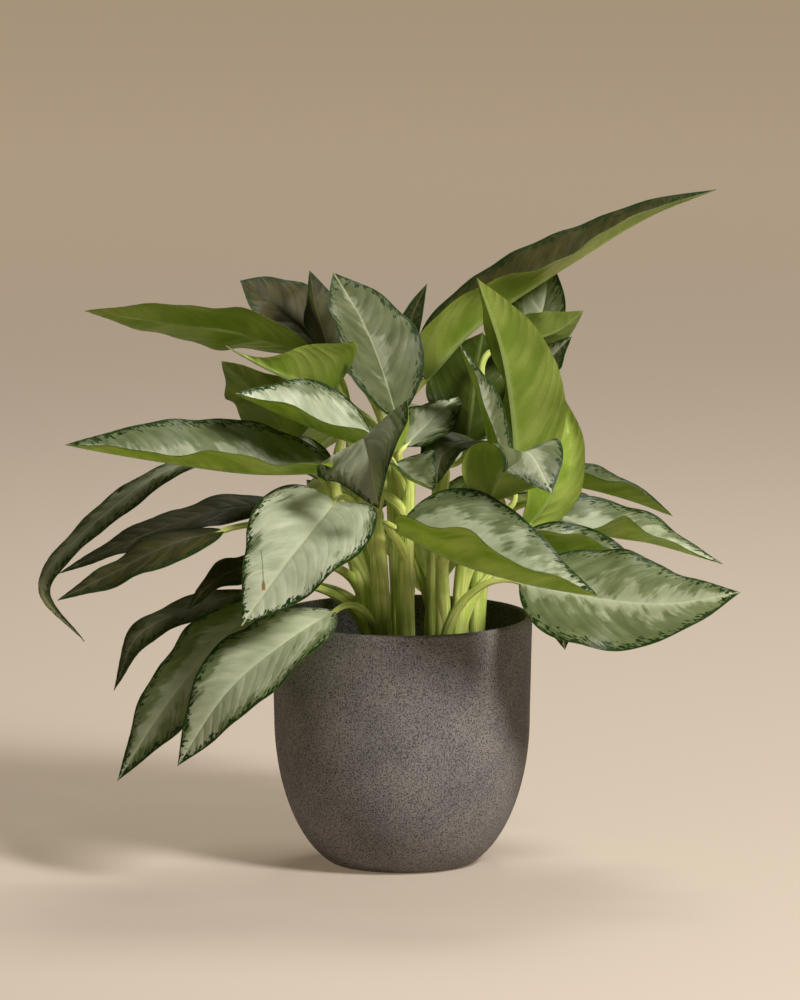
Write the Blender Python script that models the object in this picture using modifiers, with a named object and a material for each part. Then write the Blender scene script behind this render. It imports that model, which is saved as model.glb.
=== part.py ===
"""A chinese evergreen growing in a round-bottomed stoneware pot.

The origin is the middle of the pot's foot, on the floor, with +X to the right, -Y to the front and
+Z up. The tables and functions work in millimetres, and new_mesh_object turns them to metres.
"""

import math
from collections import namedtuple

import bmesh
import bpy
import numpy as np

MM = 0.001
# Solids that touch keep this gap between their faceted faces.
FIT_GAP = 0.3

# The pot: a nearly straight side on a bowl that is a quarter of an ellipse, cut off flat at the foot.
POT_HEIGHT = 211.0
POT_RIM_RADIUS = 110.0
POT_SIDE_RADIUS = 108.0
BOWL_TOP = 125.0
BOWL_CENTRE_RADIUS = 40.0
BOWL_DEPTH = 130.0
POT_WALL = 6.0
POT_FLOOR = 8.0
POT_STEPS = 36
LIP_POINTS = 4
OUTER_RINGS = 7
INNER_RINGS = 4
# How much closer together the bowl's rings lie towards the foot.
BOWL_CROWDING = 1.6

# The soil, and the part of each cane that stands in it.
SOIL_TOP = 165.0
CANE_FOOT = 105.0
CANE_FOOT_RADIUS = 8.0
CANE_TOP_RADIUS = 4.6
HOLE_SIDES = 12
# How far a hole's cutter stands out of the soil.
HOLE_RISE = 10.0

# The leaf stalks, from where they leave the cane to the blade.
STALK_ROOT_RADIUS = 5.4
STALK_END_RADIUS = 2.5
STALK_STRAIGHT_END = 4.0
# How far a stalk keeps to its cane's way and to its blade's way, as shares of its reach.
STALK_RISE = 0.42
STALK_RUN = 0.34

# The blades.
LEAST_RINGS = 7
MOST_RINGS = 11
RING_SPACING = 24.0
RIB_BASE_THICKNESS = 3.2
BLADE_THICKNESS = 0.9
EDGE_THICKNESS = 0.65
BLADE_TAPER = 1.05
BLADE_BASE_HALF = 2.4
BLADE_TIP_HALF = 0.7
# The fraction of a half's width that lies inside its bend line.
BEND_AT = 0.55
WAVE_DEGREES = 5.0
WAVES = 2.3

Shoot = namedtuple("Shoot", "name foot top")

# Each cane's place in the soil and the place of its top.
SHOOTS = [
    Shoot("shoot_front_left", (-17, -50), (-22, -50, 322)),
    Shoot("shoot_front", (3, -44), (7, -44, 330)),
    Shoot("shoot_front_right", (33, -56), (31, -57, 285)),
    Shoot("shoot_right_front", (47, -30), (58, -36, 296)),
    Shoot("shoot_right", (60, -8), (80, 2, 330)),
    Shoot("shoot_left", (-26, -14), (-56, -6, 312)),
    Shoot("shoot_middle", (-2, 8), (-8, 10, 352)),
    Shoot("shoot_back_right", (26, 34), (36, 50, 340)),
    Shoot("shoot_back_left", (-22, 42), (-42, 56, 310)),
]

# A leaf grows from its shoot at the height rise. Its blade follows route, from the stalk to the tip.
# Heading is the compass way that it grows, in degrees from +X towards +Y. Left and right are the
# angles in degrees by which each half of the blade lifts off level at the stalk, the middle and the
# tip, seen from the stalk with the upper side up. Bends are the further turn of each half's outer
# part, peak is how far along the blade is widest, and taper how fast it narrows from there.
Leaf = namedtuple(
    "Leaf", "name shoot rise half_width heading left right route bends peak taper",
    defaults=((-12, -12), 0.4, BLADE_TAPER),
)

LEAVES = [
    # Front
    Leaf("blade_front_left", "shoot_front_left", 230, 54, -105, (14, 8, 5), (42, 10, 5),
         [(-56, -60, 317), (-73, -98, 301), (-99, -132, 273), (-134, -152, 227)], peak=0.3),
    Leaf("blade_rim_left_front", "shoot_front_left", 180, 41, -140, (0, 0, 0), (30, 28, 24),
         [(-57, -96, 230), (-97, -126, 209), (-145, -140, 170), (-188, -140, 106)]),
    Leaf("blade_rim_left_back", "shoot_left", 182, 39, -140, (0, 0, 0), (16, 14, 12),
         [(-113, -60, 234), (-152, -80, 203), (-195, -90, 153), (-239, -86, 84)], peak=0.35),
    Leaf("blade_front_right", "shoot_front", 250, 62, -20, (85, 72, 50), (38, 42, 40),
         [(-3, -106, 301), (45, -138, 280), (104, -162, 265), (164, -176, 256)], peak=0.33),
    Leaf("blade_bent_front", "shoot_front", 290, 50, -90, (10, 50, 88), (-36, -30, -20),
         [(-34, -88, 352), (-33, -106, 378), (-27, -134, 362), (-19, -142, 324)]),
    Leaf("blade_curled_front", "shoot_front_right", 250, 40, -75, (6, 6, 6), (0, 5, 10),
         [(71, -106, 326), (85, -118, 354), (105, -130, 370), (125, -146, 338)]),
    Leaf("blade_small_folded", "shoot_front", 310, 32, -30, (60, 58, 50), (35, 32, 30),
         [(-6, -70, 351), (3, -84, 343), (15, -96, 338), (28, -106, 334)]),
    Leaf("blade_small_silver", "shoot_front", 326, 26, 60, (10, 10, 10), (10, 10, 10),
         [(3, -56, 364), (19, -46, 378), (33, -34, 391), (47, -14, 399)]),
    Leaf("blade_small_inner", "shoot_front_right", 280, 28, -140, (10, 10, 10), (25, 22, 20),
         [(67, -26, 360), (51, -40, 365), (34, -54, 356), (29, -64, 332)]),
    # Left
    Leaf("blade_left_upper_front", "shoot_front_left", 300, 44, 188, (25, 25, 25), (60, 60, 58),
         [(-22, -44, 362), (-56, -62, 374), (-96, -80, 393), (-139, -92, 414)]),
    Leaf("blade_left_middle", "shoot_front_left", 280, 48, 186, (28, 27, 26), (62, 61, 60),
         [(-54, -58, 344), (-124, -78, 345), (-204, -90, 357), (-282, -94, 371)]),
    Leaf("blade_left_drooping", "shoot_left", 290, 20, 180, (-15, -20, -25), (20, 22, 25),
         [(-121, 4, 353), (-200, -4, 334), (-273, -12, 281), (-307, -14, 235), (-268, -10, 190)], peak=0.5),
    Leaf("blade_left_dark_upper", "shoot_left", 260, 30, 180, (-15, -12, -10), (20, 20, 20),
         [(-99, 4, 306), (-158, 6, 299), (-225, 4, 276), (-290, 2, 246)]),
    Leaf("blade_left_dark_lower", "shoot_left", 235, 30, 185, (-15, -13, -12), (20, 20, 20),
         [(-150, -60, 293), (-197, -74, 282), (-244, -80, 259), (-289, -82, 237)]),
    Leaf("blade_left_small_dark", "shoot_left", 220, 23, 190, (-10, -10, -10), (25, 24, 22),
         [(-101, -50, 264), (-128, -62, 263), (-158, -70, 251), (-180, -72, 227)]),
    Leaf("blade_left_hooked", "shoot_left", 200, 21, 190, (-15, -18, -20), (25, 24, 22),
         [(-128, -4, 232), (-179, -16, 219), (-222, -22, 197), (-243, -20, 150)]),
    Leaf("blade_left_broad_back", "shoot_left", 300, 42, 245, (5, 5, 5), (20, 18, 15),
         [(-93, 34, 354), (-108, 24, 376), (-129, 12, 405), (-152, 4, 427)]),
    # Top left
    Leaf("blade_top_left_long", "shoot_middle", 330, 36, 180, (45, 45, 45), (-35, -35, -35),
         [(-76, 28, 431), (-137, 16, 449), (-204, 8, 460), (-267, 4, 470)], bends=(-8, 8)),
    Leaf("blade_top_left_sail", "shoot_left", 306, 60, 185, (71, 74, 70), (26, 20, 20),
         [(-62, -33, 401), (-91, -46, 418), (-118, -52, 432), (-148, -54, 449)],
         peak=0.17, taper=3.0),
    Leaf("blade_top_left_dark", "shoot_back_left", 290, 36, 120, (15, 15, 15), (15, 15, 15),
         [(-71, 88, 427), (-94, 94, 449), (-115, 98, 466), (-137, 98, 482)]),
    Leaf("blade_top_folded", "shoot_middle", 340, 30, 160, (-10, 0, 10), (50, 50, 50),
         [(-56, 62, 403), (-66, 60, 441), (-74, 62, 469), (-78, 66, 495)]),
    Leaf("blade_top_silver", "shoot_middle", 344, 41, 110, (35, 32, 20), (12, 12, 12),
         [(-4, -28, 382), (-17, -20, 424), (-34, -2, 463), (-58, 28, 499)], peak=0.44),
    Leaf("blade_top_narrow", "shoot_middle", 346, 12, 90, (30, 30, 30), (30, 30, 30),
         [(-2, 44, 401), (3, 46, 437), (10, 48, 462), (21, 50, 486)]),
    # Top right
    Leaf("blade_top_right_long", "shoot_middle", 348, 42, 5, (55, 52, 50), (80, 32, 28),
         [(20, 14, 410), (67, 18, 458), (158, 28, 517), (212, 34, 548), (265, 40, 568)], peak=0.26),
    Leaf("blade_bright_upright", "shoot_right_front", 280, 46, -90, (8, 8, 10), (88, 84, 75),
         [(95, -52, 326), (94, -50, 377), (84, -52, 442), (63, -62, 507)]),
    Leaf("blade_narrow_upright", "shoot_right_front", 270, 26, 180, (20, 20, 20), (54, 52, 50),
         [(84, -84, 323), (74, -80, 367), (64, -72, 407), (48, -62, 452)]),
    Leaf("blade_right_rolled", "shoot_right", 240, 26, -60, (10, 10, 10), (10, 10, 10),
         [(103, -22, 287), (125, -22, 316), (134, -12, 356), (127, 6, 410)], bends=(-70, -14)),
    Leaf("blade_back_silver", "shoot_right", 310, 34, 80, (10, 10, 10), (45, 45, 45),
         [(104, 54, 393), (112, 64, 431), (121, 74, 468), (126, 86, 502)]),
    Leaf("blade_back_green_fold", "shoot_right", 320, 24, 0, (-40, -40, -40), (80, 80, 80),
         [(87, 14, 438), (110, 18, 443), (133, 22, 451), (153, 24, 467)], bends=(6, -10)),
    Leaf("blade_back_small_silver", "shoot_right", 300, 22, 45, (10, 10, 10), (10, 10, 10),
         [(99, 2, 393), (113, 8, 412), (127, 14, 430), (143, 18, 446)]),
    Leaf("blade_dark_inner", "shoot_middle", 320, 40, -90, (10, 10, 10), (10, 10, 10),
         [(54, 26, 350), (58, 30, 382), (62, 34, 416), (68, 40, 446)], peak=0.5),
    # Right
    Leaf("blade_right_silver", "shoot_front_right", 180, 48, -15, (60, 58, 50), (-45, -45, -45),
         [(99, -84, 253), (158, -104, 243), (221, -118, 240), (283, -126, 251)], peak=0.37),
    Leaf("blade_right_small_low", "shoot_right_front", 190, 22, -60, (10, 10, 10), (10, 10, 10),
         [(106, -30, 254), (121, -44, 240), (132, -54, 217), (137, -58, 191)]),
    Leaf("blade_right_narrow", "shoot_right", 285, 26, 5, (45, 45, 45), (42, 42, 42),
         [(121, 20, 323), (158, 28, 315), (196, 34, 303), (229, 36, 290)]),
    Leaf("blade_right_long", "shoot_right", 262, 35, -5, (75, 46, 15), (-30, 42, 10),
         [(123, 2, 302), (167, -4, 282), (213, -10, 274), (270, -18, 258)]),
    Leaf("blade_right_green", "shoot_right_front", 215, 26, -10, (80, 80, 80), (55, 55, 50),
         [(97, -36, 281), (137, -40, 271), (175, -42, 265), (202, -42, 256)]),
    # Back
    Leaf("blade_back_left_high", "shoot_back_left", 290, 38, 115, (18, 14, 10), (18, 14, 10),
         [(-6, 70, 338), (-28, 112, 352), (-56, 156, 344), (-88, 206, 310)]),
    Leaf("blade_back_middle_high", "shoot_back_right", 324, 44, 80, (18, 14, 10), (18, 14, 10),
         [(18, 66, 350), (26, 112, 368), (36, 164, 356), (50, 222, 318)]),
    Leaf("blade_back_right_high", "shoot_back_right", 312, 38, 50, (18, 14, 10), (18, 14, 10),
         [(56, 58, 350), (84, 96, 350), (110, 134, 328), (136, 176, 288)]),
    Leaf("blade_back_left_long", "shoot_back_left", 280, 42, 145, (18, 14, 10), (18, 14, 10),
         [(-62, 50, 316), (-100, 80, 334), (-142, 108, 334), (-184, 138, 314)]),
    Leaf("blade_back_left_low", "shoot_back_left", 240, 40, 100, (15, 12, 8), (15, 12, 8),
         [(-20, 70, 290), (-34, 120, 304), (-50, 172, 292), (-68, 222, 256)]),
    Leaf("blade_back_right_low", "shoot_back_right", 240, 40, 60, (15, 12, 8), (15, 12, 8),
         [(44, 62, 286), (74, 106, 300), (106, 152, 288), (138, 198, 252)]),
    Leaf("blade_right_back", "shoot_right", 276, 36, 25, (15, 12, 8), (15, 12, 8),
         [(84, 44, 306), (122, 70, 306), (160, 92, 288), (200, 112, 262)]),
    Leaf("blade_left_back", "shoot_back_left", 225, 38, 165, (15, 12, 8), (15, 12, 8),
         [(-78, 36, 280), (-124, 58, 286), (-174, 76, 275), (-222, 94, 250)]),
    Leaf("blade_right_back_low", "shoot_right", 190, 38, 20, (15, 12, 8), (15, 12, 8),
         [(88, 22, 250), (132, 42, 258), (178, 62, 244), (224, 84, 208)]),
    Leaf("blade_back_rim", "shoot_back_right", 185, 40, 85, (15, 12, 8), (15, 12, 8),
         [(6, 84, 262), (12, 130, 258), (18, 172, 232), (24, 206, 190)]),
    Leaf("blade_back_upright", "shoot_middle", 336, 30, 105, (15, 12, 10), (15, 12, 10),
         [(-6, 48, 380), (-10, 72, 418), (-14, 98, 446), (-18, 130, 458)]),
]

# Colours are linear values close to the real ones.
FINISHES = {
    "stoneware": ((0.095, 0.080, 0.070), 0.85),
    "soil": ((0.022, 0.016, 0.011), 0.95),
    "stalk": ((0.300, 0.360, 0.090), 0.45),
    "blade": ((0.300, 0.400, 0.230), 0.42),
}


def clear_scene():
    for old in list(bpy.data.objects):
        bpy.data.objects.remove(old, do_unlink=True)


def new_collection(name, hidden=False):
    collection = bpy.data.collections.new(name)
    bpy.context.scene.collection.children.link(collection)
    collection.hide_render = hidden
    return collection


def finish(obj, finish_name):
    """Gives the object a material of its own."""
    colour, roughness = FINISHES[finish_name]
    material = bpy.data.materials.new(obj.name + "_" + finish_name)
    material.use_nodes = True
    shader = material.node_tree.nodes["Principled BSDF"]
    shader.inputs["Base Color"].default_value = (*colour, 1.0)
    shader.inputs["Roughness"].default_value = roughness
    shader.inputs["Metallic"].default_value = 0.0
    obj.data.materials.clear()
    obj.data.materials.append(material)
    obj.data.shade_smooth()
    obj.data.set_sharp_from_angle(angle=math.radians(40))


def new_mesh_object(name, points, faces, collection):
    """An object from points in millimetres and the faces between them."""
    mesh = bpy.data.meshes.new(name)
    mesh.from_pydata([tuple(c * MM for c in point) for point in points], [], faces)
    obj = bpy.data.objects.new(name, mesh)
    collection.objects.link(obj)
    return obj


def apply_modifiers(obj):
    """Replaces the object's mesh by the one its modifiers make."""
    graph = bpy.context.evaluated_depsgraph_get()
    made = bpy.data.meshes.new_from_object(obj.evaluated_get(graph))
    obj.modifiers.clear()
    obj.data = made


def bowl_radius(height, shrink, drop):
    """The bowl's radius at a height. Shrink is how far inside the outer face it lies, and drop how
    far its lowest point is raised."""
    reach = POT_SIDE_RADIUS - BOWL_CENTRE_RADIUS - shrink
    depth = BOWL_DEPTH - drop
    share = min(1.0, (BOWL_TOP - height) / depth)
    return BOWL_CENTRE_RADIUS + reach * math.sqrt(1.0 - share * share)


def bowl_heights(lowest, count):
    """Heights down the bowl, closer together towards the foot."""
    return [lowest + (BOWL_TOP - lowest) * (1.0 - i / count) ** BOWL_CROWDING for i in range(count + 1)]


def turned(name, profile, collection):
    """A solid turned round Z from a profile of (radius, height), down its outer side."""
    points = [(radius, 0.0, height) for radius, height in profile]
    mesh = bpy.data.meshes.new(name)
    edges = [(i, i + 1) for i in range(len(points) - 1)]
    mesh.from_pydata([tuple(c * MM for c in point) for point in points], edges, [])
    obj = bpy.data.objects.new(name, mesh)
    collection.objects.link(obj)
    screw = obj.modifiers.new("Turn", "SCREW")
    screw.steps = POT_STEPS
    screw.render_steps = POT_STEPS
    screw.use_merge_vertices = True
    screw.merge_threshold = 0.00005
    apply_modifiers(obj)
    return obj


def make_pot(collection):
    inner_floor = bowl_radius(POT_FLOOR, POT_WALL, POT_FLOOR)
    inside = [(0.0, POT_FLOOR), (inner_floor, POT_FLOOR)]
    for height in reversed(bowl_heights(POT_FLOOR, INNER_RINGS)[:-1]):
        inside.append((bowl_radius(height, POT_WALL, POT_FLOOR), height))
    lip_radius = POT_WALL / 2
    lip_centre = (POT_RIM_RADIUS - lip_radius, POT_HEIGHT - lip_radius)
    lip = []
    for i in range(LIP_POINTS):
        angle = math.pi * (1.0 - i / (LIP_POINTS - 1))
        lip.append(
            (lip_centre[0] + lip_radius * math.cos(angle), lip_centre[1] + lip_radius * math.sin(angle))
        )
    outside = [(bowl_radius(height, 0.0, 0.0), height) for height in bowl_heights(0.0, OUTER_RINGS)]
    pot = turned("pot", inside + lip + outside + [(0.0, 0.0)], collection)
    finish(pot, "stoneware")
    return pot


def make_soil(collection, cutters):
    """The soil fills the pot, with a plain hole for each cane."""
    floor = POT_FLOOR + FIT_GAP
    shrink = POT_WALL + FIT_GAP
    profile = [(0.0, SOIL_TOP)]
    side_share = (SOIL_TOP - BOWL_TOP) / (POT_HEIGHT - BOWL_TOP)
    side = POT_SIDE_RADIUS + (POT_RIM_RADIUS - POT_SIDE_RADIUS) * side_share - shrink
    profile.append((side - FIT_GAP, SOIL_TOP))
    for height in bowl_heights(POT_FLOOR, INNER_RINGS):
        radius = bowl_radius(height, POT_WALL, POT_FLOOR) - 2 * FIT_GAP
        profile.append((radius, max(height, floor)))
    profile.append((0.0, floor))
    soil = turned("soil", profile, collection)
    hole_radius = (CANE_FOOT_RADIUS + FIT_GAP) / math.cos(math.pi / HOLE_SIDES)
    bottom = CANE_FOOT - FIT_GAP
    for shoot in SHOOTS:
        depth = SOIL_TOP - bottom + HOLE_RISE
        bpy.ops.mesh.primitive_cylinder_add(
            vertices=HOLE_SIDES,
            radius=hole_radius * MM,
            depth=depth * MM,
            location=(shoot.foot[0] * MM, shoot.foot[1] * MM, (bottom + depth / 2) * MM),
        )
        hole = bpy.context.object
        hole.name = shoot.name + "_hole"
        hole.display_type = "WIRE"
        hole.hide_render = True
        for owner in list(hole.users_collection):
            owner.objects.unlink(hole)
        cutters.objects.link(hole)
    cut = soil.modifiers.new("Holes", "BOOLEAN")
    cut.operation = "DIFFERENCE"
    cut.operand_type = "COLLECTION"
    cut.collection = cutters
    finish(soil, "soil")
    return soil


def smooth_route(knots, count):
    """Points evenly spaced along a Catmull-Rom curve through the knots, and the directions there."""
    knots = np.array(knots, float)
    ends = np.vstack([2 * knots[0] - knots[1], knots, 2 * knots[-1] - knots[-2]])
    dense = []
    per_span = 40
    for i in range(len(knots) - 1):
        a, b, c, d = ends[i : i + 4]
        for u in np.arange(per_span) / per_span:
            dense.append(
                0.5
                * (
                    2 * b
                    + (c - a) * u
                    + (2 * a - 5 * b + 4 * c - d) * u**2
                    + (3 * b - a - 3 * c + d) * u**3
                )
            )
    dense.append(knots[-1])
    dense = np.array(dense)
    run = np.concatenate([[0.0], np.cumsum(np.linalg.norm(np.diff(dense, axis=0), axis=1))])
    share = blade_stations(count)
    spine = np.array([np.interp(share * run[-1], run, dense[:, k]) for k in range(3)]).T
    ways = np.array(
        [
            [np.interp(np.clip(s + step, 0, 1) * run[-1], run, dense[:, k]) for k in range(3)]
            for s in share
            for step in (-0.02, 0.02)
        ]
    )
    ways = ways[1::2] - ways[0::2]
    return spine, ways / np.linalg.norm(ways, axis=1)[:, None]


def blade_stations(count):
    """Shares of the blade's length, closer together at both ends."""
    u = np.linspace(0.0, 1.0, count)
    return 0.5 * u + 0.25 * (1.0 - np.cos(math.pi * u))


def outline(share, leaf):
    """The blade's half width, as a share of its widest, for a share of its length."""
    rise = leaf.taper * leaf.peak / (1.0 - leaf.peak)
    return (share / leaf.peak) ** rise * ((1.0 - share) / (1.0 - leaf.peak)) ** leaf.taper


def half_section(width, lift, bend):
    """The bend line and the edge of one half, as (sideways, up) from the midrib."""
    inner = (width * BEND_AT * math.cos(lift), width * BEND_AT * math.sin(lift))
    outer = width * (1.0 - BEND_AT)
    edge = (inner[0] + outer * math.cos(lift + bend), inner[1] + outer * math.sin(lift + bend))
    return inner, edge


def blade_section(leaf, share, wave_start):
    """Five points across the blade from its left edge to its right, and the thickness at each."""
    width = leaf.half_width * outline(share, leaf)
    least = BLADE_BASE_HALF + (BLADE_TIP_HALF - BLADE_BASE_HALF) * min(1.0, share * 4)
    width = max(width, least)
    sides = []
    for side, (lifts, bend) in enumerate(zip((leaf.left, leaf.right), leaf.bends)):
        wave = WAVE_DEGREES * math.sin(2 * math.pi * (WAVES * share + wave_start + 0.37 * side))
        lift = float(np.interp(share, (0.0, 0.45, 1.0), lifts)) + wave * math.sin(math.pi * share)
        sides.append(half_section(width, math.radians(lift), math.radians(bend)))
    (left_in, left_edge), (right_in, right_edge) = sides
    section = [left_edge, left_in, (0.0, 0.0), (-right_in[0], right_in[1]), (-right_edge[0], right_edge[1])]
    slim = max(0.0, 1.0 - share * 5)
    rib = BLADE_THICKNESS * 1.5 + (RIB_BASE_THICKNESS - BLADE_THICKNESS * 1.5) * slim
    middle = BLADE_THICKNESS + (RIB_BASE_THICKNESS * 0.8 - BLADE_THICKNESS) * slim
    edge = EDGE_THICKNESS + (RIB_BASE_THICKNESS * 0.5 - EDGE_THICKNESS) * slim
    if share > 0.97:
        rib = BLADE_THICKNESS
    return np.array(section), (edge, middle, rib, middle, edge)


def ring_count(leaf):
    """More rings on a longer blade."""
    knots = np.array(leaf.route, float)
    length = np.linalg.norm(np.diff(knots, axis=0), axis=1).sum()
    return int(np.clip(round(length / RING_SPACING) + 2, LEAST_RINGS, MOST_RINGS))


def blade_mesh(leaf, index):
    """Rings of ten points along the route, five on the upper side and five below them."""
    rings = ring_count(leaf)
    spine, ways = smooth_route(leaf.route, rings)
    heading = math.radians(leaf.heading)
    level = np.array((-math.sin(heading), math.cos(heading), 0.0))
    wave_start = (index * 0.618) % 1.0
    points = []
    for place, way, share in zip(spine, ways, blade_stations(rings)):
        side = level - level.dot(way) * way
        side /= np.linalg.norm(side)
        up = np.cross(way, side)
        section, thick = blade_section(leaf, share, wave_start)
        along = np.gradient(section, axis=0)
        normal = np.stack([along[:, 1], -along[:, 0]], axis=1)
        normal /= np.linalg.norm(normal, axis=1)[:, None]
        half = 0.5 * np.array(thick)[:, None] * normal
        for flat in (section + half, (section - half)[::-1]):
            points.extend(place + x * side + z * up for x, z in flat)
    return points, blade_faces(rings)


def blade_faces(rings):
    """Triangles split alike on the upper and lower side, so that the two never cross."""
    faces = []
    for ring in range(rings - 1):
        here, there = ring * 10, ring * 10 + 10
        for k in range(10):
            j = (k + 1) % 10
            a, b, c, d = here + k, here + j, there + j, there + k
            if k < 5:
                faces += [(a, b, c), (a, c, d)]
            else:
                faces += [(a, b, d), (b, c, d)]
    last = (rings - 1) * 10
    for k in range(4):
        top, next_top, low, next_low = k, k + 1, 9 - k, 8 - k
        faces += [(top, low, next_top), (next_top, low, next_low)]
        faces += [
            (last + top, last + next_top, last + low),
            (last + next_top, last + next_low, last + low),
        ]
    return faces


def cane_centre(shoot, height):
    """The middle of a cane: upright in the soil, then leaning further and further."""
    share = max(0.0, (height - SOIL_TOP) / (shoot.top[2] - SOIL_TOP))
    x = shoot.foot[0] + (shoot.top[0] - shoot.foot[0]) * share**2
    y = shoot.foot[1] + (shoot.top[1] - shoot.foot[1]) * share**2
    return np.array((x, y, height))


def tube(name, points, radii, resolution, collection):
    """A closed tube along a path, from a curve with a bevel."""
    curve = bpy.data.curves.new(name, "CURVE")
    curve.dimensions = "3D"
    curve.bevel_depth = MM
    curve.bevel_resolution = resolution
    curve.use_fill_caps = True
    spline = curve.splines.new("POLY")
    spline.points.add(len(points) - 1)
    for knot, point, radius in zip(spline.points, points, radii):
        knot.co = (point[0] * MM, point[1] * MM, point[2] * MM, 1.0)
        knot.radius = radius
    path = bpy.data.objects.new(name + "_path", curve)
    collection.objects.link(path)
    graph = bpy.context.evaluated_depsgraph_get()
    mesh = bpy.data.meshes.new_from_object(path.evaluated_get(graph))
    shape = bmesh.new()
    shape.from_mesh(mesh)
    bmesh.ops.remove_doubles(shape, verts=shape.verts, dist=0.00001)
    bmesh.ops.recalc_face_normals(shape, faces=shape.faces)
    shape.to_mesh(mesh)
    shape.free()
    made = bpy.data.objects.new(name, mesh)
    made.matrix_world = path.matrix_world
    collection.objects.link(made)
    bpy.data.objects.remove(path, do_unlink=True)
    return made


def stalk_points(shoot, leaf, count=6):
    """A stalk leaves its cane upwards and meets the blade in the blade's own direction."""
    spine, ways = smooth_route(leaf.route, LEAST_RINGS)
    start = cane_centre(shoot, leaf.rise)
    tip = spine[0] - ways[0] * FIT_GAP
    end = tip - ways[0] * STALK_STRAIGHT_END
    reach = np.linalg.norm(end - start)
    lean = cane_centre(shoot, leaf.rise + 5.0) - start
    lean /= np.linalg.norm(lean)
    first = start + lean * reach * STALK_RISE
    second = end - ways[0] * reach * STALK_RUN
    points = []
    for u in np.linspace(0.0, 1.0, count):
        v = 1.0 - u
        points.append(v**3 * start + 3 * v * v * u * first + 3 * v * u * u * second + u**3 * end)
    return [*points, tip]


def make_shoot(shoot, collection, loose, spans=4):
    """One cane with its leaf stalks, joined in one body."""
    heights = [CANE_FOOT, SOIL_TOP, *np.linspace(SOIL_TOP, shoot.top[2], spans + 1)[1:]]
    centres = [cane_centre(shoot, height) for height in heights]
    radii = [CANE_FOOT_RADIUS, CANE_FOOT_RADIUS]
    radii += list(np.linspace(CANE_FOOT_RADIUS, CANE_TOP_RADIUS, spans + 1)[1:])
    cane = tube(shoot.name, centres, radii, 2, collection)
    for leaf in LEAVES:
        if leaf.shoot != shoot.name:
            continue
        points = stalk_points(shoot, leaf)
        radii = np.linspace(STALK_ROOT_RADIUS, STALK_END_RADIUS, len(points))
        tube(leaf.name + "_stalk", points, radii, 1, loose)
    join = cane.modifiers.new("Join", "BOOLEAN")
    join.operation = "UNION"
    join.operand_type = "COLLECTION"
    join.collection = loose
    apply_modifiers(cane)
    for stalk in list(loose.objects):
        bpy.data.objects.remove(stalk, do_unlink=True)
    finish(cane, "stalk")
    return cane


def main():
    clear_scene()
    plant = new_collection("potted_chinese_evergreen")
    cutters = new_collection("cutters", hidden=True)
    loose = new_collection("stalks_to_join", hidden=True)
    make_pot(plant)
    make_soil(plant, cutters)
    for shoot in SHOOTS:
        make_shoot(shoot, plant, loose)
    for index, leaf in enumerate(LEAVES):
        points, faces = blade_mesh(leaf, index)
        blade = new_mesh_object(leaf.name, points, faces, plant)
        finish(blade, "blade")
    bpy.data.collections.remove(loose)


main()
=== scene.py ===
"""The looks of a potted chinese evergreen: its variegated leaves, fleshy stalks, soil and pot.

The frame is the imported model's: the origin is the middle of the pot's foot, with +X to the right,
-Y to the front and +Z up. Shapes are worked out in millimetres and turned to metres in the mesh.
"""

import math
from collections import namedtuple

import bpy
import numpy as np
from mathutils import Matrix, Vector


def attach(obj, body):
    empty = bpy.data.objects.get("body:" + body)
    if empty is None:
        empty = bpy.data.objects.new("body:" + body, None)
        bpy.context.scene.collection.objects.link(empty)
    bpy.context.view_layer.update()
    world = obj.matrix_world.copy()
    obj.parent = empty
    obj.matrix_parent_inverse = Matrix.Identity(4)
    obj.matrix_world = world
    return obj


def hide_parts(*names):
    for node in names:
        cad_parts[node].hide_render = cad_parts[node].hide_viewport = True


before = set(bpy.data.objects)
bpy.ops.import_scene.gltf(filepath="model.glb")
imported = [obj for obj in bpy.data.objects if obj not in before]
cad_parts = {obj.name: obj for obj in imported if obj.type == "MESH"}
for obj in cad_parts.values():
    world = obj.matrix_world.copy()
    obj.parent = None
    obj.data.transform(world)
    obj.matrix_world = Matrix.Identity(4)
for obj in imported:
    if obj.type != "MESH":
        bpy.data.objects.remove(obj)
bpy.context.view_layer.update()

MM = 0.001

# The pot: a nearly straight side on a bowl that is a quarter of an ellipse, cut off flat at the foot.
POT_HEIGHT = 211.0
POT_RIM_RADIUS = 110.0
POT_SIDE_RADIUS = 108.0
BOWL_TOP = 125.0
BOWL_CENTRE_RADIUS = 40.0
BOWL_DEPTH = 130.0
BOWL_CROWDING = 1.6
POT_WALL = 6.0
POT_FLOOR = 8.0
FOOT_ROUNDING = 2.0
POT_SIDES = 144
POT_RINGS = 36
SIDE_ROWS = 8
LIP_POINTS = 11
# The radii of the points inside on the floor and of those below the foot, and the heights of those on
# the foot's rounded edge.
FLOOR_RADII = [0.0, 15.0, 30.0]
FOOT_RADII = [40.0, 20.0, 0.0]
FOOT_HEIGHTS = [1.4, 0.7, 0.2, 0.0]

# The soil: its level top, its gap to the pot, and how far below its top its side ends.
SOIL_TOP = 165.0
SOIL_GAP = 0.3
SOIL_SHOULDER = 6.0
SOIL_SIDES = 96
SOIL_RINGS = 34
SOIL_BOWL_RINGS = 10
# Its lumps: how far below the level top they lie, and how high the wide and the narrow ones are.
LUMP_DROP = 2.0
WIDE_LUMP = 1.3
NARROW_LUMP = 0.6
# How far from the soil's edge the crumbs on it end.
CRUMB_MARGIN = 3.0

# Canes and leaf stalks. A cane is a bundle: each leaf's stalk runs up beside its core.
CANE_FOOT = 150.0
CORE_SHARE = 0.72
BUNDLE_RADIUS = 4.3
BUNDLE_TURN = 2.4
# How far round its cane a stalk winds, in radians for each millimetre up.
BUNDLE_WINDING = 0.012
CANE_FOOT_RADIUS = 8.0
CANE_TOP_RADIUS = 4.6
CORE_POINTS = 16
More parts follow.
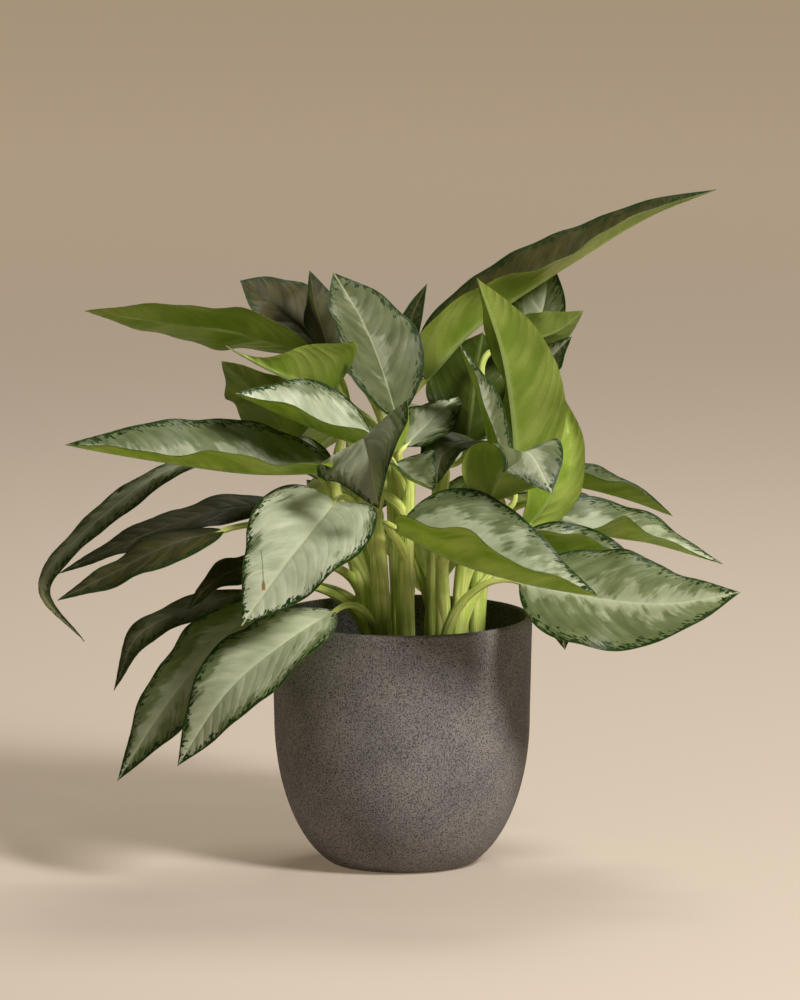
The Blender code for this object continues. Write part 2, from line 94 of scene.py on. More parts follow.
# How far inside its cane's side a stalk's middle lies, as a share of the stalk's radius.
STALK_SUNK = 0.75
STALK_ROOT_RADIUS = 5.4
STALK_END_RADIUS = 2.4
STALK_TIP_RADIUS = 0.9
STALK_STRAIGHT_END = 4.0
# A stalk's points on its way up its cane, and from there to its blade.
STALK_FOOT_POINTS = 11
STALK_POINTS = 28
# How far a stalk runs on under its blade, where it becomes the midrib, and how far below the blade's
# middle it lies where that starts and where it ends.
STALK_INTO_BLADE = 9.0
STALK_DROP = 0.5
STALK_TIP_DROP = 1.2
# The stretch of cane above a stalk's root that gives the way in which the stalk sets out.
LEAN_STEP = 5.0
# How far a stalk keeps to its cane's way and to its blade's way, as shares of its reach.
STALK_RISE = 0.42
STALK_RUN = 0.34
STALK_GAP = 0.3
# The streaks on a stalk: their length, their width on a stalk of the usual radius, and how far apart
# stalks stand that have other streaks.
STREAK_LENGTH = 40.0
STREAK_WIDTH = 1.5
STALK_USUAL_RADIUS = 4.0
STREAKS_APART = 20.0

# How finely a curve through knots is drawn, and how far to either side of a place, as a share of the
# curve's length, its way there is measured.
ROUTE_STEPS = 40
WAY_STEP = 0.02

# Blades: rows along each and columns across each half, closer together near the midrib.
BLADE_ROWS = 88
HALF_COLUMNS = 12
COLUMN_CROWDING = 1.5
MIDDLE_THICKNESS = 0.9
EDGE_THICKNESS = 0.5
RIB_DEPTH = 2.0
RIB_HALF_WIDTH = 2.1
# The half width of a blade with a rib of that size. Larger blades have stouter ribs.
RIB_BLADE_HALF = 36.0
# The share of the rib that is left at the tip.
RIB_TIP_SHARE = 0.25
GROOVE_DEPTH = 0.5
GROOVE_HALF_WIDTH = 1.3
# The rib and the groove fade out over the last of so many equal parts of the blade.
FADING_PARTS = 12
BLADE_TAPER = 1.05
BLADE_BASE_HALF = 2.4
BLADE_TIP_HALF = 0.35
# How far along the blade its base ends, and where along it the halves' middle angles hold.
BASE_END = 0.25
BLADE_MIDDLE = 0.45
# Where across a half it bends, and over how much of its width on either side of that.
BEND_AT = 0.55
BEND_SPREAD = 0.3
# The waves in each half's angle: how much they turn it, how many there are, how much further on they
# start in the right half, and how much further on in the next blade.
WAVE_DEGREES = 5.0
WAVES = 2.3
WAVE_SHIFT = 0.37
WAVE_STEP = 0.618
# The edge's ruffles and the slow ones with them, whose height is a share of theirs, how much further
# on they start in the right half, and how wide a half is where they are in full.
RUFFLE = 0.9
RUFFLE_LENGTH = 40.0
SLOW_RUFFLE = 0.8
SLOW_RUFFLE_LENGTH = 108.0
RUFFLE_SHIFT = 0.41
RUFFLED_HALF = 30.0
# A side vein leaves the midrib at VEIN_LEAN along for each step across, and bends on towards the tip
# until it runs nearly along the edge.
VEIN_SPACING = 14.0
VEIN_LEAN = 0.75
VEIN_CURVE = 0.75
# How deep the valleys over the side veins are, over which part of a half they set in, and how much of
# that depth they lose by the edge.
VEIN_RELIEF = 0.4
VALLEY_START = (0.03, 0.25)
VALLEY_LOSS = 0.6
# How much a step across a half takes its pattern on along the side veins.
PATTERN_LEAN = 0.6
# What separates one blade's pattern from the next one's, and half of what separates that of its own
# two halves, in the pattern's own millimetres.
PATTERN_STEP = 61.0
HALF_STEP = 17.0

# The sizes of the pot's grit, of the clouds that its firing left, and of the soil's crumbs.
GRIT_SIZE = 1.2
FIRING_SIZE = 50.0
CRUMB_SIZE = 4.0

# The camera: how far above level it stands, how far off, the height that its frame takes in, and what
# it looks at, in metres but for the first.
CAMERA_ELEVATION = 9.0
CAMERA_DISTANCE = 14.0
FRAME_HEIGHT = 0.843
CAMERA_TARGET = (-0.0017, 0.0, 0.3092)

# What the lights point at, in metres.
LIGHT_TARGET = (0.0, 0.0, 0.28)

# The studio's floor, a disk just below the pot's foot.
STUDIO_RADIUS = 30000.0
STUDIO_DROP = 0.1
STUDIO_SIDES = 128

# Edges that turn by more degrees than this stay sharp.
SHARP_ANGLE = 50

# Settings of two kinds of node: a smooth rise, whose inputs are the value, 0, from where to where it
# rises, 1 and 2, and what it gives there, 3 and 4, and a blend of two colours, whose inputs are its
# share, 0, and the colours, 6 and 7.
SMOOTH = {"interpolation_type": "SMOOTHSTEP"}
COLOURS = {"data_type": "RGBA"}

# The ends of the slit in the foremost blade: how far across and along the blade they lie.
SLIT_START = (-27.0, 90.0)
SLIT_END = (-3.0, 121.0)

Shoot = namedtuple("Shoot", "name foot top")

# Each cane's place in the soil and the place of its top.
SHOOTS = [
    Shoot("shoot_front_left", (-17, -50), (-22, -50, 322)),
    Shoot("shoot_front", (3, -44), (7, -44, 330)),
    Shoot("shoot_front_right", (33, -56), (31, -57, 285)),
    Shoot("shoot_right_front", (47, -30), (58, -36, 296)),
    Shoot("shoot_right", (60, -8), (80, 2, 330)),
    Shoot("shoot_left", (-26, -14), (-56, -6, 312)),
    Shoot("shoot_middle", (-2, 8), (-8, 10, 352)),
    Shoot("shoot_back_right", (26, 34), (36, 50, 340)),
    Shoot("shoot_back_left", (-22, 42), (-42, 56, 310)),
]

# A leaf grows from its shoot at the height rise. Its blade follows route, from the stalk to the tip.
# Heading is the compass way that it grows, in degrees from +X towards +Y. Left and right are the
# angles in degrees by which each half of the blade lifts off level at the stalk, the middle and the
# tip, seen from the stalk with the upper side up. Bends are the further turn of each half's outer
# part, peak is how far along the blade is widest, and taper how fast it narrows from there.
Leaf = namedtuple(
    "Leaf", "name shoot rise half_width heading left right route bends peak taper",
    defaults=((-12, -12), 0.4, BLADE_TAPER),
)

LEAVES = [
    # Front
    Leaf("blade_front_left", "shoot_front_left", 230, 54, -105, (14, 8, 5), (42, 10, 5),
         [(-56, -60, 317), (-73, -98, 301), (-99, -132, 273), (-134, -152, 227)], peak=0.3),
    Leaf("blade_rim_left_front", "shoot_front_left", 180, 41, -140, (0, 0, 0), (30, 28, 24),
         [(-57, -96, 230), (-97, -126, 209), (-145, -140, 170), (-188, -140, 106)]),
    Leaf("blade_rim_left_back", "shoot_left", 182, 39, -140, (0, 0, 0), (16, 14, 12),
         [(-113, -60, 234), (-152, -80, 203), (-195, -90, 153), (-239, -86, 84)], peak=0.35),
    Leaf("blade_front_right", "shoot_front", 250, 62, -20, (85, 72, 50), (38, 42, 40),
         [(-3, -106, 301), (45, -137, 280), (104, -161, 265), (164, -175, 256)], peak=0.33),
    Leaf("blade_bent_front", "shoot_front", 290, 50, -90, (10, 50, 88), (-36, -30, -20),
         [(-34, -88, 352), (-33, -106, 378), (-27, -134, 362), (-19, -142, 324)]),
    Leaf("blade_curled_front", "shoot_front_right", 250, 40, -75, (6, 6, 6), (0, 5, 10),
         [(71, -106, 326), (85, -118, 354), (105, -130, 370), (125, -146, 338)]),
    Leaf("blade_small_folded", "shoot_front", 310, 32, -30, (60, 58, 50), (35, 32, 30),
         [(-6, -70, 351), (3, -84, 343), (15, -96, 338), (28, -106, 334)]),
    Leaf("blade_small_silver", "shoot_front", 326, 26, 60, (10, 10, 10), (10, 10, 10),
         [(3, -56, 364), (19, -46, 378), (33, -34, 391), (47, -14, 399)]),
    Leaf("blade_small_inner", "shoot_front_right", 280, 28, -140, (10, 10, 10), (25, 22, 20),
         [(67, -26, 360), (51, -40, 365), (34, -54, 356), (29, -64, 332)]),
    # Left
    Leaf("blade_left_upper_front", "shoot_front_left", 300, 44, 188, (25, 25, 25), (60, 60, 58),
         [(-22, -44, 362), (-56, -62, 374), (-96, -80, 393), (-139, -92, 414)]),
    Leaf("blade_left_middle", "shoot_front_left", 280, 48, 186, (28, 27, 26), (62, 61, 60),
         [(-54, -58, 344), (-124, -78, 345), (-204, -90, 357), (-282, -94, 371)]),
    Leaf("blade_left_drooping", "shoot_left", 290, 20, 180, (-15, -20, -25), (20, 22, 25),
         [(-121, 4, 353), (-200, -4, 334), (-271, -12, 281), (-303, -14, 235), (-268, -10, 190)], peak=0.5),
    Leaf("blade_left_dark_upper", "shoot_left", 260, 30, 180, (-15, -12, -10), (20, 20, 20),
         [(-99, 4, 306), (-158, 6, 299), (-225, 4, 276), (-290, 2, 246)]),
    Leaf("blade_left_dark_lower", "shoot_left", 235, 30, 185, (-15, -13, -12), (20, 20, 20),
         [(-150, -60, 293), (-197, -74, 282), (-244, -80, 259), (-289, -82, 237)]),
    Leaf("blade_left_small_dark", "shoot_left", 220, 23, 190, (-10, -10, -10), (25, 24, 22),
         [(-101, -50, 264), (-128, -62, 263), (-158, -70, 251), (-180, -72, 227)]),
    Leaf("blade_left_hooked", "shoot_left", 200, 21, 190, (-15, -18, -20), (25, 24, 22),
         [(-128, -4, 232), (-179, -16, 219), (-222, -22, 197), (-243, -20, 150)]),
    Leaf("blade_left_broad_back", "shoot_left", 300, 42, 245, (5, 5, 5), (20, 18, 15),
         [(-93, 34, 354), (-108, 24, 376), (-129, 12, 405), (-152, 4, 427)]),
    # Top left
    Leaf("blade_top_left_long", "shoot_middle", 330, 36, 180, (45, 45, 45), (-35, -35, -35),
         [(-76, 28, 431), (-137, 16, 449), (-204, 8, 460), (-267, 4, 470)], bends=(-8, 8)),
    Leaf("blade_top_left_sail", "shoot_left", 306, 60, 185, (71, 74, 70), (26, 20, 20),
         [(-62, -33, 401), (-91, -46, 418), (-118, -52, 432), (-148, -54, 449)],
         peak=0.17, taper=3.0),
    Leaf("blade_top_left_dark", "shoot_back_left", 290, 36, 120, (15, 15, 15), (15, 15, 15),
         [(-71, 88, 427), (-94, 94, 449), (-115, 98, 466), (-137, 98, 482)]),
    Leaf("blade_top_folded", "shoot_middle", 340, 30, 160, (-10, 0, 10), (50, 50, 50),
         [(-56, 62, 403), (-66, 60, 441), (-74, 62, 469), (-78, 66, 495)]),
    Leaf("blade_top_silver", "shoot_middle", 344, 41, 110, (35, 32, 20), (12, 12, 12),
         [(-4, -28, 382), (-17, -20, 424), (-34, -2, 463), (-58, 28, 499)], peak=0.44),
    Leaf("blade_top_narrow", "shoot_middle", 346, 12, 90, (30, 30, 30), (30, 30, 30),
         [(-2, 44, 401), (3, 46, 437), (10, 48, 462), (21, 50, 486)]),
    # Top right
    Leaf("blade_top_right_long", "shoot_middle", 348, 42, 5, (55, 52, 50), (80, 32, 28),
         [(20, 14, 410), (67, 18, 458), (158, 28, 517), (212, 34, 548), (265, 40, 568)], peak=0.26),
    Leaf("blade_bright_upright", "shoot_right_front", 280, 46, -90, (8, 8, 10), (88, 84, 75),
         [(95, -52, 326), (94, -50, 377), (84, -52, 442), (63, -62, 507)]),
    Leaf("blade_narrow_upright", "shoot_right_front", 270, 26, 180, (20, 20, 20), (54, 52, 50),
         [(84, -84, 323), (74, -80, 367), (64, -72, 407), (48, -62, 452)]),
    Leaf("blade_right_rolled", "shoot_right", 240, 26, -60, (10, 10, 10), (10, 10, 10),
         [(103, -22, 287), (125, -22, 316), (134, -12, 356), (127, 6, 410)], bends=(-70, -14)),
    Leaf("blade_back_silver", "shoot_right", 310, 34, 80, (10, 10, 10), (45, 45, 45),
         [(104, 54, 393), (112, 64, 431), (121, 74, 468), (126, 86, 502)]),
    Leaf("blade_back_green_fold", "shoot_right", 320, 24, 0, (-40, -40, -40), (80, 80, 80),
         [(87, 14, 438), (110, 18, 443), (133, 22, 451), (153, 24, 467)], bends=(6, -10)),
    Leaf("blade_back_small_silver", "shoot_right", 300, 22, 45, (10, 10, 10), (10, 10, 10),
         [(99, 2, 393), (113, 8, 412), (127, 14, 430), (143, 18, 446)]),
    Leaf("blade_dark_inner", "shoot_middle", 320, 40, -90, (10, 10, 10), (10, 10, 10),
         [(54, 26, 350), (58, 30, 382), (62, 34, 416), (68, 40, 446)], peak=0.5),
    # Right
    Leaf("blade_right_silver", "shoot_front_right", 180, 48, -15, (60, 58, 50), (-45, -45, -45),
         [(99, -84, 253), (158, -104, 243), (221, -118, 240), (283, -126, 251)], peak=0.37),
    Leaf("blade_right_small_low", "shoot_right_front", 190, 22, -60, (10, 10, 10), (10, 10, 10),
         [(106, -30, 254), (121, -44, 240), (132, -54, 217), (137, -58, 191)]),
    Leaf("blade_right_narrow", "shoot_right", 285, 26, 5, (45, 45, 45), (42, 42, 42),
         [(121, 20, 323), (158, 28, 315), (196, 34, 303), (229, 36, 290)]),
    Leaf("blade_right_long", "shoot_right", 262, 35, -5, (75, 46, 15), (-30, 42, 10),
         [(123, 2, 302), (167, -4, 282), (213, -10, 274), (270, -18, 258)]),
    Leaf("blade_right_green", "shoot_right_front", 215, 26, -10, (80, 80, 80), (55, 55, 50),
         [(97, -36, 281), (137, -40, 271), (175, -42, 265), (202, -42, 256)]),
    # Back
    Leaf("blade_back_left_high", "shoot_back_left", 290, 38, 115, (18, 14, 10), (18, 14, 10),
         [(-6, 70, 338), (-28, 112, 352), (-56, 156, 344), (-88, 206, 310)]),
    Leaf("blade_back_middle_high", "shoot_back_right", 324, 44, 80, (18, 14, 10), (18, 14, 10),
         [(18, 66, 350), (26, 112, 368), (36, 164, 356), (50, 222, 318)]),
    Leaf("blade_back_right_high", "shoot_back_right", 312, 38, 50, (18, 14, 10), (18, 14, 10),
         [(56, 58, 350), (84, 96, 350), (110, 134, 328), (136, 176, 288)]),
    Leaf("blade_back_left_long", "shoot_back_left", 280, 42, 145, (18, 14, 10), (18, 14, 10),
         [(-62, 50, 316), (-100, 80, 334), (-142, 108, 334), (-184, 138, 314)]),
    Leaf("blade_back_left_low", "shoot_back_left", 240, 40, 100, (15, 12, 8), (15, 12, 8),
         [(-20, 70, 290), (-34, 120, 304), (-50, 172, 292), (-68, 222, 256)]),
    Leaf("blade_back_right_low", "shoot_back_right", 240, 40, 60, (15, 12, 8), (15, 12, 8),
         [(44, 62, 286), (74, 106, 300), (106, 152, 288), (138, 198, 252)]),
    Leaf("blade_right_back", "shoot_right", 276, 36, 25, (15, 12, 8), (15, 12, 8),
         [(84, 44, 306), (122, 70, 306), (160, 92, 288), (200, 112, 262)]),
    Leaf("blade_left_back", "shoot_back_left", 225, 38, 165, (15, 12, 8), (15, 12, 8),
         [(-78, 36, 280), (-124, 58, 286), (-174, 76, 275), (-222, 94, 250)]),
    Leaf("blade_right_back_low", "shoot_right", 190, 38, 20, (15, 12, 8), (15, 12, 8),
         [(88, 22, 250), (132, 42, 258), (178, 62, 244), (224, 84, 208)]),
    Leaf("blade_back_rim", "shoot_back_right", 185, 40, 85, (15, 12, 8), (15, 12, 8),
         [(6, 84, 262), (12, 130, 258), (18, 172, 232), (24, 206, 190)]),
    Leaf("blade_back_upright", "shoot_middle", 336, 30, 105, (15, 12, 10), (15, 12, 10),
         [(-6, 48, 380), (-10, 72, 418), (-14, 98, 446), (-18, 130, 458)]),
]

# How a blade's colours differ from the others': how far painted shade darkens its upper side towards olive,
# how much of that side is pale silver, how far green clouds cover it from the edge in, and how far
# painted shade darkens its underside. Each goes from 0 to 1, and clouds may go a little further.
Tone = namedtuple("Tone", "dark pale clouds under", defaults=(0.0, 0.5, 0.5, 0.2))

TONES = {
    "blade_front_left": Tone(0.0, 1.0, 0.0),
    "blade_rim_left_front": Tone(0.0, 0.58, 0.25),
    "blade_rim_left_back": Tone(0.1, 0.4, 0.7),
    "blade_front_right": Tone(0.0, 0.7, 0.45),
    "blade_bent_front": Tone(0.42, 0.6, 0.4, 0.1),
    "blade_curled_front": Tone(0.25, 0.3, 0.8, 0.3),
    "blade_small_folded": Tone(0.3, 0.4, 0.9),
    "blade_small_silver": Tone(0.1, 0.6, 0.5),
    "blade_small_inner": Tone(0.7, 0.3, 0.9),
    "blade_left_upper_front": Tone(0.0, 0.75, 0.25, 0.3),
    "blade_left_middle": Tone(0.15, 0.4, 0.85, 0.0),
    "blade_left_drooping": Tone(0.36, 0.3, 0.6),
    "blade_left_dark_upper": Tone(0.9, 0.3, 0.8, 0.7),
    "blade_left_dark_lower": Tone(0.94, 0.2, 0.9, 0.7),
    "blade_left_small_dark": Tone(0.94, 0.2, 0.9, 0.7),
    "blade_left_hooked": Tone(0.8, 0.4, 0.7, 0.4),
    "blade_left_broad_back": Tone(0.3, 0.4, 0.7, 0.5),
    "blade_top_left_long": Tone(0.3, 0.4, 0.7, 0.3),
    "blade_top_left_sail": Tone(0.85, 0.4, 0.4, 0.1),
    "blade_top_left_dark": Tone(1.0, 0.5, 0.2, 0.5),
    "blade_top_folded": Tone(0.95, 0.3, 0.9, 0.0),
    "blade_top_silver": Tone(0.35, 0.4, 1.2),
    "blade_top_narrow": Tone(0.93, 0.2, 1.0, 0.5),
    "blade_top_right_long": Tone(0.96, 0.3, 0.5, 0.1),
    "blade_bright_upright": Tone(0.2, 0.4, 0.6, 0.36),
    "blade_narrow_upright": Tone(0.4, 0.4, 0.8, 0.1),
    "blade_dark_inner": Tone(0.9, 0.3, 0.8, 0.9),
    "blade_back_silver": Tone(0.3, 0.5, 0.6),
    "blade_back_green_fold": Tone(0.3, 0.4, 0.8, 0.6),
    "blade_back_small_silver": Tone(0.6, 0.4, 0.8, 0.5),
    "blade_right_silver": Tone(0.12, 0.25, 0.85),
    "blade_right_narrow": Tone(0.4, 0.3, 0.8),
    "blade_right_long": Tone(0.1, 0.35, 0.6),
}


def linear(hex_colour):
    """A linear colour from an sRGB hex value."""
    values = [int(hex_colour[i : i + 2], 16) / 255 for i in (1, 3, 5)]
    return (*(v / 12.92 if v <= 0.04045 else ((v + 0.055) / 1.055) ** 2.4 for v in values), 1.0)


def add(tree, kind, links, **settings):
    """Adds a node. Links give its inputs by name or number: a socket is linked, and a value is set,
    turned to a linear colour first if it is a hex value."""
    node = tree.nodes.new(kind)
    for name, value in settings.items():
        setattr(node, name, value)
    for key, value in links.items():
        if isinstance(value, bpy.types.NodeSocket):
            tree.links.new(value, node.inputs[key])
            continue
        if isinstance(value, str) and value.startswith("#"):
            value = linear(value)
        node.inputs[key].default_value = value
    return node


def new_material(name):
    """A material with an empty tree but for its output."""
    material = bpy.data.materials.new(name)
    material.use_nodes = True
    tree = material.node_tree
    tree.nodes.clear()
    return material, tree, tree.nodes.new("ShaderNodeOutputMaterial")


def smoothstep(low, high, values):
    """0 below low, 1 above high and a smooth rise between them."""
    share = np.clip((values - low) / (high - low), 0.0, 1.0)
    return share * share * (3.0 - 2.0 * share)


def mesh_piece(name, points, faces, materials, slots=None):
    """A piece from points in millimetres and the faces between them, with each face's material slot."""
    mesh = bpy.data.meshes.new(name)
    mesh.from_pydata(np.asarray(points) * MM, [], faces)
    for material in materials:
        mesh.materials.append(material)
    if slots is not None:
        mesh.polygons.foreach_set("material_index", slots)
    mesh.shade_smooth()
    mesh.set_sharp_from_angle(angle=math.radians(SHARP_ANGLE))
    piece = bpy.data.objects.new(name, mesh)
    bpy.context.scene.collection.objects.link(piece)
    return piece


def stand_for(piece, node):
    """The piece takes a node's place on the plant."""
    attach(piece, "root")
    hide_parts(node)


def smooth_route(knots, shares):
    """Places at shares of the length of a Catmull-Rom curve through the knots, the ways there and
    the whole length."""
    knots = np.array(knots, float)
    ends = np.vstack([2 * knots[0] - knots[1], knots, 2 * knots[-1] - knots[-2]])
    u = (np.arange(ROUTE_STEPS) / ROUTE_STEPS)[:, None]
    spans = []
    for a, b, c, d in zip(ends, ends[1:], ends[2:], ends[3:]):
        cubic = (3 * b - a - 3 * c + d) * u**3
        spans.append(0.5 * (2 * b + (c - a) * u + (2 * a - 5 * b + 4 * c - d) * u**2 + cubic))
    dense = np.vstack([*spans, knots[-1:]])
    run = np.concatenate([[0.0], np.cumsum(np.linalg.norm(np.diff(dense, axis=0), axis=1))])
    places = []
    for step in (0.0, -WAY_STEP, WAY_STEP):
        reach = np.clip(shares + step, 0.0, 1.0) * run[-1]
        places.append(np.stack([np.interp(reach, run, dense[:, k]) for k in range(3)], axis=1))
    ways = places[2] - places[1]
    return places[0], ways / np.linalg.norm(ways, axis=1)[:, None], run[-1]


def blade_stations(count):
    """Shares of the blade's length, closer together at both ends."""
    u = np.linspace(0.0, 1.0, count)
    return 0.5 * u + 0.25 * (1.0 - np.cos(math.pi * u))


def outline(share, leaf):
    """The blade's half width, as a share of its widest, for a share of its length."""
    rise = leaf.taper * leaf.peak / (1.0 - leaf.peak)
    return (share / leaf.peak) ** rise * ((1.0 - share) / (1.0 - leaf.peak)) ** leaf.taper


def blade_half(leaf, side, shares, width, wave_start):
    """One half across the blade, from the midrib to the edge, as (sideways, up) for each row."""
    lifts = (leaf.left, leaf.right)[side]
    wave = WAVE_DEGREES * np.sin(2 * math.pi * (WAVES * shares + wave_start + WAVE_SHIFT * side))
    lift = np.interp(shares, (0.0, BLADE_MIDDLE, 1.0), lifts) + wave * np.sin(math.pi * shares)
    columns = np.linspace(0.0, 1.0, HALF_COLUMNS + 1) ** COLUMN_CROWDING
    middles = (columns[1:] + columns[:-1]) / 2
    turn = leaf.bends[side] * smoothstep(BEND_AT - BEND_SPREAD, BEND_AT + BEND_SPREAD, middles)
    angle = np.radians(lift[:, None] + turn[None, :])
    step = width[:, None] * np.diff(columns)[None, :]
    sideways = np.cumsum(step * np.cos(angle), axis=1)
    rise = np.cumsum(step * np.sin(angle), axis=1)
    start = np.zeros((len(shares), 1))
    return np.hstack([start, sideways]), np.hstack([start, rise]), columns


def blade_relief(shares, across, length, width, wave_start):
    """How far the blade stands off its plain shape: ruffles at the edge and valleys over its veins."""
    reach = np.abs(across) / width[:, None]
    side = np.where(across > 0, 0.0, RUFFLE_SHIFT)
    along = shares[:, None] * length
    waves = np.sin(2 * math.pi * (along / RUFFLE_LENGTH + wave_start + side))
    slow = np.sin(2 * math.pi * (along / SLOW_RUFFLE_LENGTH + 2.3 * wave_start - side))
    ends = np.sin(math.pi * shares)[:, None] ** 0.7 * np.clip(width[:, None] / RUFFLED_HALF, 0.3, 1.2)
    ruffle = RUFFLE * (waves + SLOW_RUFFLE * slow) * reach**2.2 * ends
    vein = along - np.abs(across) * (VEIN_LEAN + VEIN_CURVE * reach**2)
    valley = (0.5 + 0.5 * np.cos(2 * math.pi * vein / VEIN_SPACING)) ** 2
    return ruffle - VEIN_RELIEF * valley * smoothstep(*VALLEY_START, reach) * (1.0 - VALLEY_LOSS * reach)


def blade_faces(rows, columns):
    """Faces of the upper sheet, the under sheet below it and the edge between them."""
    count = rows * columns
    top = np.arange(count).reshape(rows, columns)
    a, b, c, d = top[:-1, :-1], top[:-1, 1:], top[1:, 1:], top[1:, :-1]
    upper = np.stack([a, b, c, d], axis=-1).reshape(-1, 4)
    under = upper[:, ::-1] + count
    ring = np.concatenate([top[0, :-1], top[:-1, -1], top[-1, :0:-1], top[:0:-1, 0]])
    after = np.roll(ring, -1)
    edge = np.stack([after, ring, ring + count, after + count], axis=-1)
    slots = [0] * len(upper) + [1] * len(under) + [0] * len(edge)
    return np.vstack([upper, under, edge]).tolist(), slots


def blade_axes(leaf, ways):
    """A blade's sideways and upward directions where it runs the given ways."""
    heading = math.radians(leaf.heading)
    level = np.array((-math.sin(heading), math.cos(heading), 0.0))
    side = level - (ways @ level)[:, None] * ways
    side /= np.linalg.norm(side, axis=1)[:, None]
    return side, np.cross(ways, side)


def blade_sheets(leaf, number):
    """Points of the upper and the under side, and each point's place on the blade in millimetres."""
    shares = blade_stations(BLADE_ROWS)
    spine, ways, length = smooth_route(leaf.route, shares)
    side, up = blade_axes(leaf, ways)
    least = np.interp(shares, (0.0, BASE_END), (BLADE_BASE_HALF, BLADE_TIP_HALF))
    width = np.maximum(leaf.half_width * outline(shares, leaf), least)
    wave_start = (number * WAVE_STEP) % 1.0
    left, left_up, columns = blade_half(leaf, 0, shares, width, wave_start)
    right, right_up, columns = blade_half(leaf, 1, shares, width, wave_start)
    sideways = np.hstack([left[:, ::-1], -right[:, 1:]])
    rise = np.hstack([left_up[:, ::-1], right_up[:, 1:]])
    share_across = np.concatenate([columns[::-1], -columns[1:]])
    across = width[:, None] * share_across[None, :]
    middle = spine[:, None, :] + sideways[..., None] * side[:, None, :] + rise[..., None] * up[:, None, :]
    normal = np.cross(np.gradient(middle, axis=1), np.gradient(middle, axis=0))
    normal /= np.maximum(np.linalg.norm(normal, axis=2), 1e-9)[..., None]
    middle = middle + blade_relief(shares, across, length, width, wave_start)[..., None] * normal
    half = 0.5 * (EDGE_THICKNESS + (MIDDLE_THICKNESS - EDGE_THICKNESS) * (1.0 - share_across**2))
    ends = np.clip((1.0 - shares) * FADING_PARTS, 0.0, 1.0)[:, None]
    groove = GROOVE_DEPTH * np.exp(-((across / GROOVE_HALF_WIDTH) ** 2)) * ends
    slim = (RIB_TIP_SHARE + (1.0 - RIB_TIP_SHARE) * (1.0 - shares) ** 1.5)[:, None]
    slim = slim * leaf.half_width / RIB_BLADE_HALF
    rib = RIB_DEPTH * slim * np.exp(-((across / (RIB_HALF_WIDTH * slim)) ** 2)) * ends
    upper = middle + (half[None, :] - groove)[..., None] * normal
    under = middle - (half[None, :] + rib)[..., None] * normal
    along = np.broadcast_to(shares[:, None] * length, across.shape)
    place = np.stack([across, along, width[:, None] - np.abs(across)], axis=-1)
    return upper, under, place


def mark_points(piece, name, values):
    """Keeps a number, or a vector of three, at each point of a piece, for its material to read."""
    kind, field = ("FLOAT", "value") if np.ndim(values) == 1 else ("FLOAT_VECTOR", "vector")
    marks = piece.data.attributes.new(name, kind, "POINT")
    marks.data.foreach_set(field, np.ravel(values))


def make_blade(leaf, number, materials):
    """One blade, with what its materials need to know at each point of it."""
    upper, under, place = blade_sheets(leaf, number)
    rows, columns = place.shape[:2]
    points = np.vstack([upper.reshape(-1, 3), under.reshape(-1, 3)])
    faces, slots = blade_faces(rows, columns)
    piece = mesh_piece(leaf.name.replace("blade", "leaf"), points, faces, materials, slots)
    tone = TONES.get(leaf.name, Tone())
    mark_points(piece, "blade_place", np.vstack([place.reshape(-1, 3)] * 2))
    # The first of the tone's values and the underside's value are painted shade.
    mark_points(piece, "blade_tone", np.tile(tone[:3], (len(points), 1)))
    mark_points(piece, "blade_under", np.full(len(points), tone.under))
    mark_points(piece, "blade_number", np.full(len(points), number * PATTERN_STEP))
    stand_for(piece, leaf.name)


def cane_centre(shoot, height):
    """The middle of a cane: upright in the soil, then leaning further and further."""
    share = max(0.0, (height - SOIL_TOP) / (shoot.top[2] - SOIL_TOP))
    x = shoot.foot[0] + (shoot.top[0] - shoot.foot[0]) * share**2
    y = shoot.foot[1] + (shoot.top[1] - shoot.foot[1]) * share**2
    return np.array((x, y, height))


def beside_cane(shoot, leaf, number, height):
    """Where a stalk runs at a height below its leaf's rise, beside its cane and winding round it."""
    angle = number * BUNDLE_TURN + BUNDLE_WINDING * (leaf.rise - height)
    off = max(0.0, cane_radius(shoot, height) - STALK_SUNK * BUNDLE_RADIUS)
    return cane_centre(shoot, height) + off * np.array((math.cos(angle), math.sin(angle), 0.0))


def stalk_points(shoot, leaf, number):
    """A stalk runs up beside its cane's core, leaves it and runs on under the blade, in the blade's
    own direction."""
    spine, ways = smooth_route(leaf.route, np.array((0.0, 1.0)))[:2]
    up = blade_axes(leaf, ways)[1][0]
    start = cane_centre(shoot, leaf.rise)
    tip = spine[0] - ways[0] * STALK_GAP
    end = tip - ways[0] * STALK_STRAIGHT_END
    reach = np.linalg.norm(end - start)
    lean = cane_centre(shoot, leaf.rise + LEAN_STEP) - start
    lean /= np.linalg.norm(lean)
    first = start + lean * reach * STALK_RISE
    second = end - ways[0] * reach * STALK_RUN
    u = np.linspace(0.0, 1.0, STALK_POINTS)[:, None]
    v = 1.0 - u
    bend = v**3 * start + 3 * v * v * u * first + 3 * v * u * u * second + u**3 * end
    bend = bend + (beside_cane(shoot, leaf, number, leaf.rise) - start) * v**3
    heights = np.linspace(CANE_FOOT, leaf.rise, STALK_FOOT_POINTS + 1)[:-1]
    foot = [beside_cane(shoot, leaf, number, height) for height in heights]
    last = tip + ways[0] * STALK_INTO_BLADE - STALK_TIP_DROP * up
    return [*foot, *bend, tip - STALK_DROP * up, last]


def stalk_radii():
    """Even along the cane, thicker where the stalk's sheath clasps it, then slim, and slimmer still
    under the blade."""
    foot = np.linspace(BUNDLE_RADIUS, STALK_ROOT_RADIUS, STALK_FOOT_POINTS + 1)[:-1]
    u = np.linspace(0.0, 1.0, STALK_POINTS + 1)
    slim = STALK_END_RADIUS + (STALK_ROOT_RADIUS - STALK_END_RADIUS) * (1.0 - u) ** 1.5
    return [*foot, *slim, STALK_TIP_RADIUS]


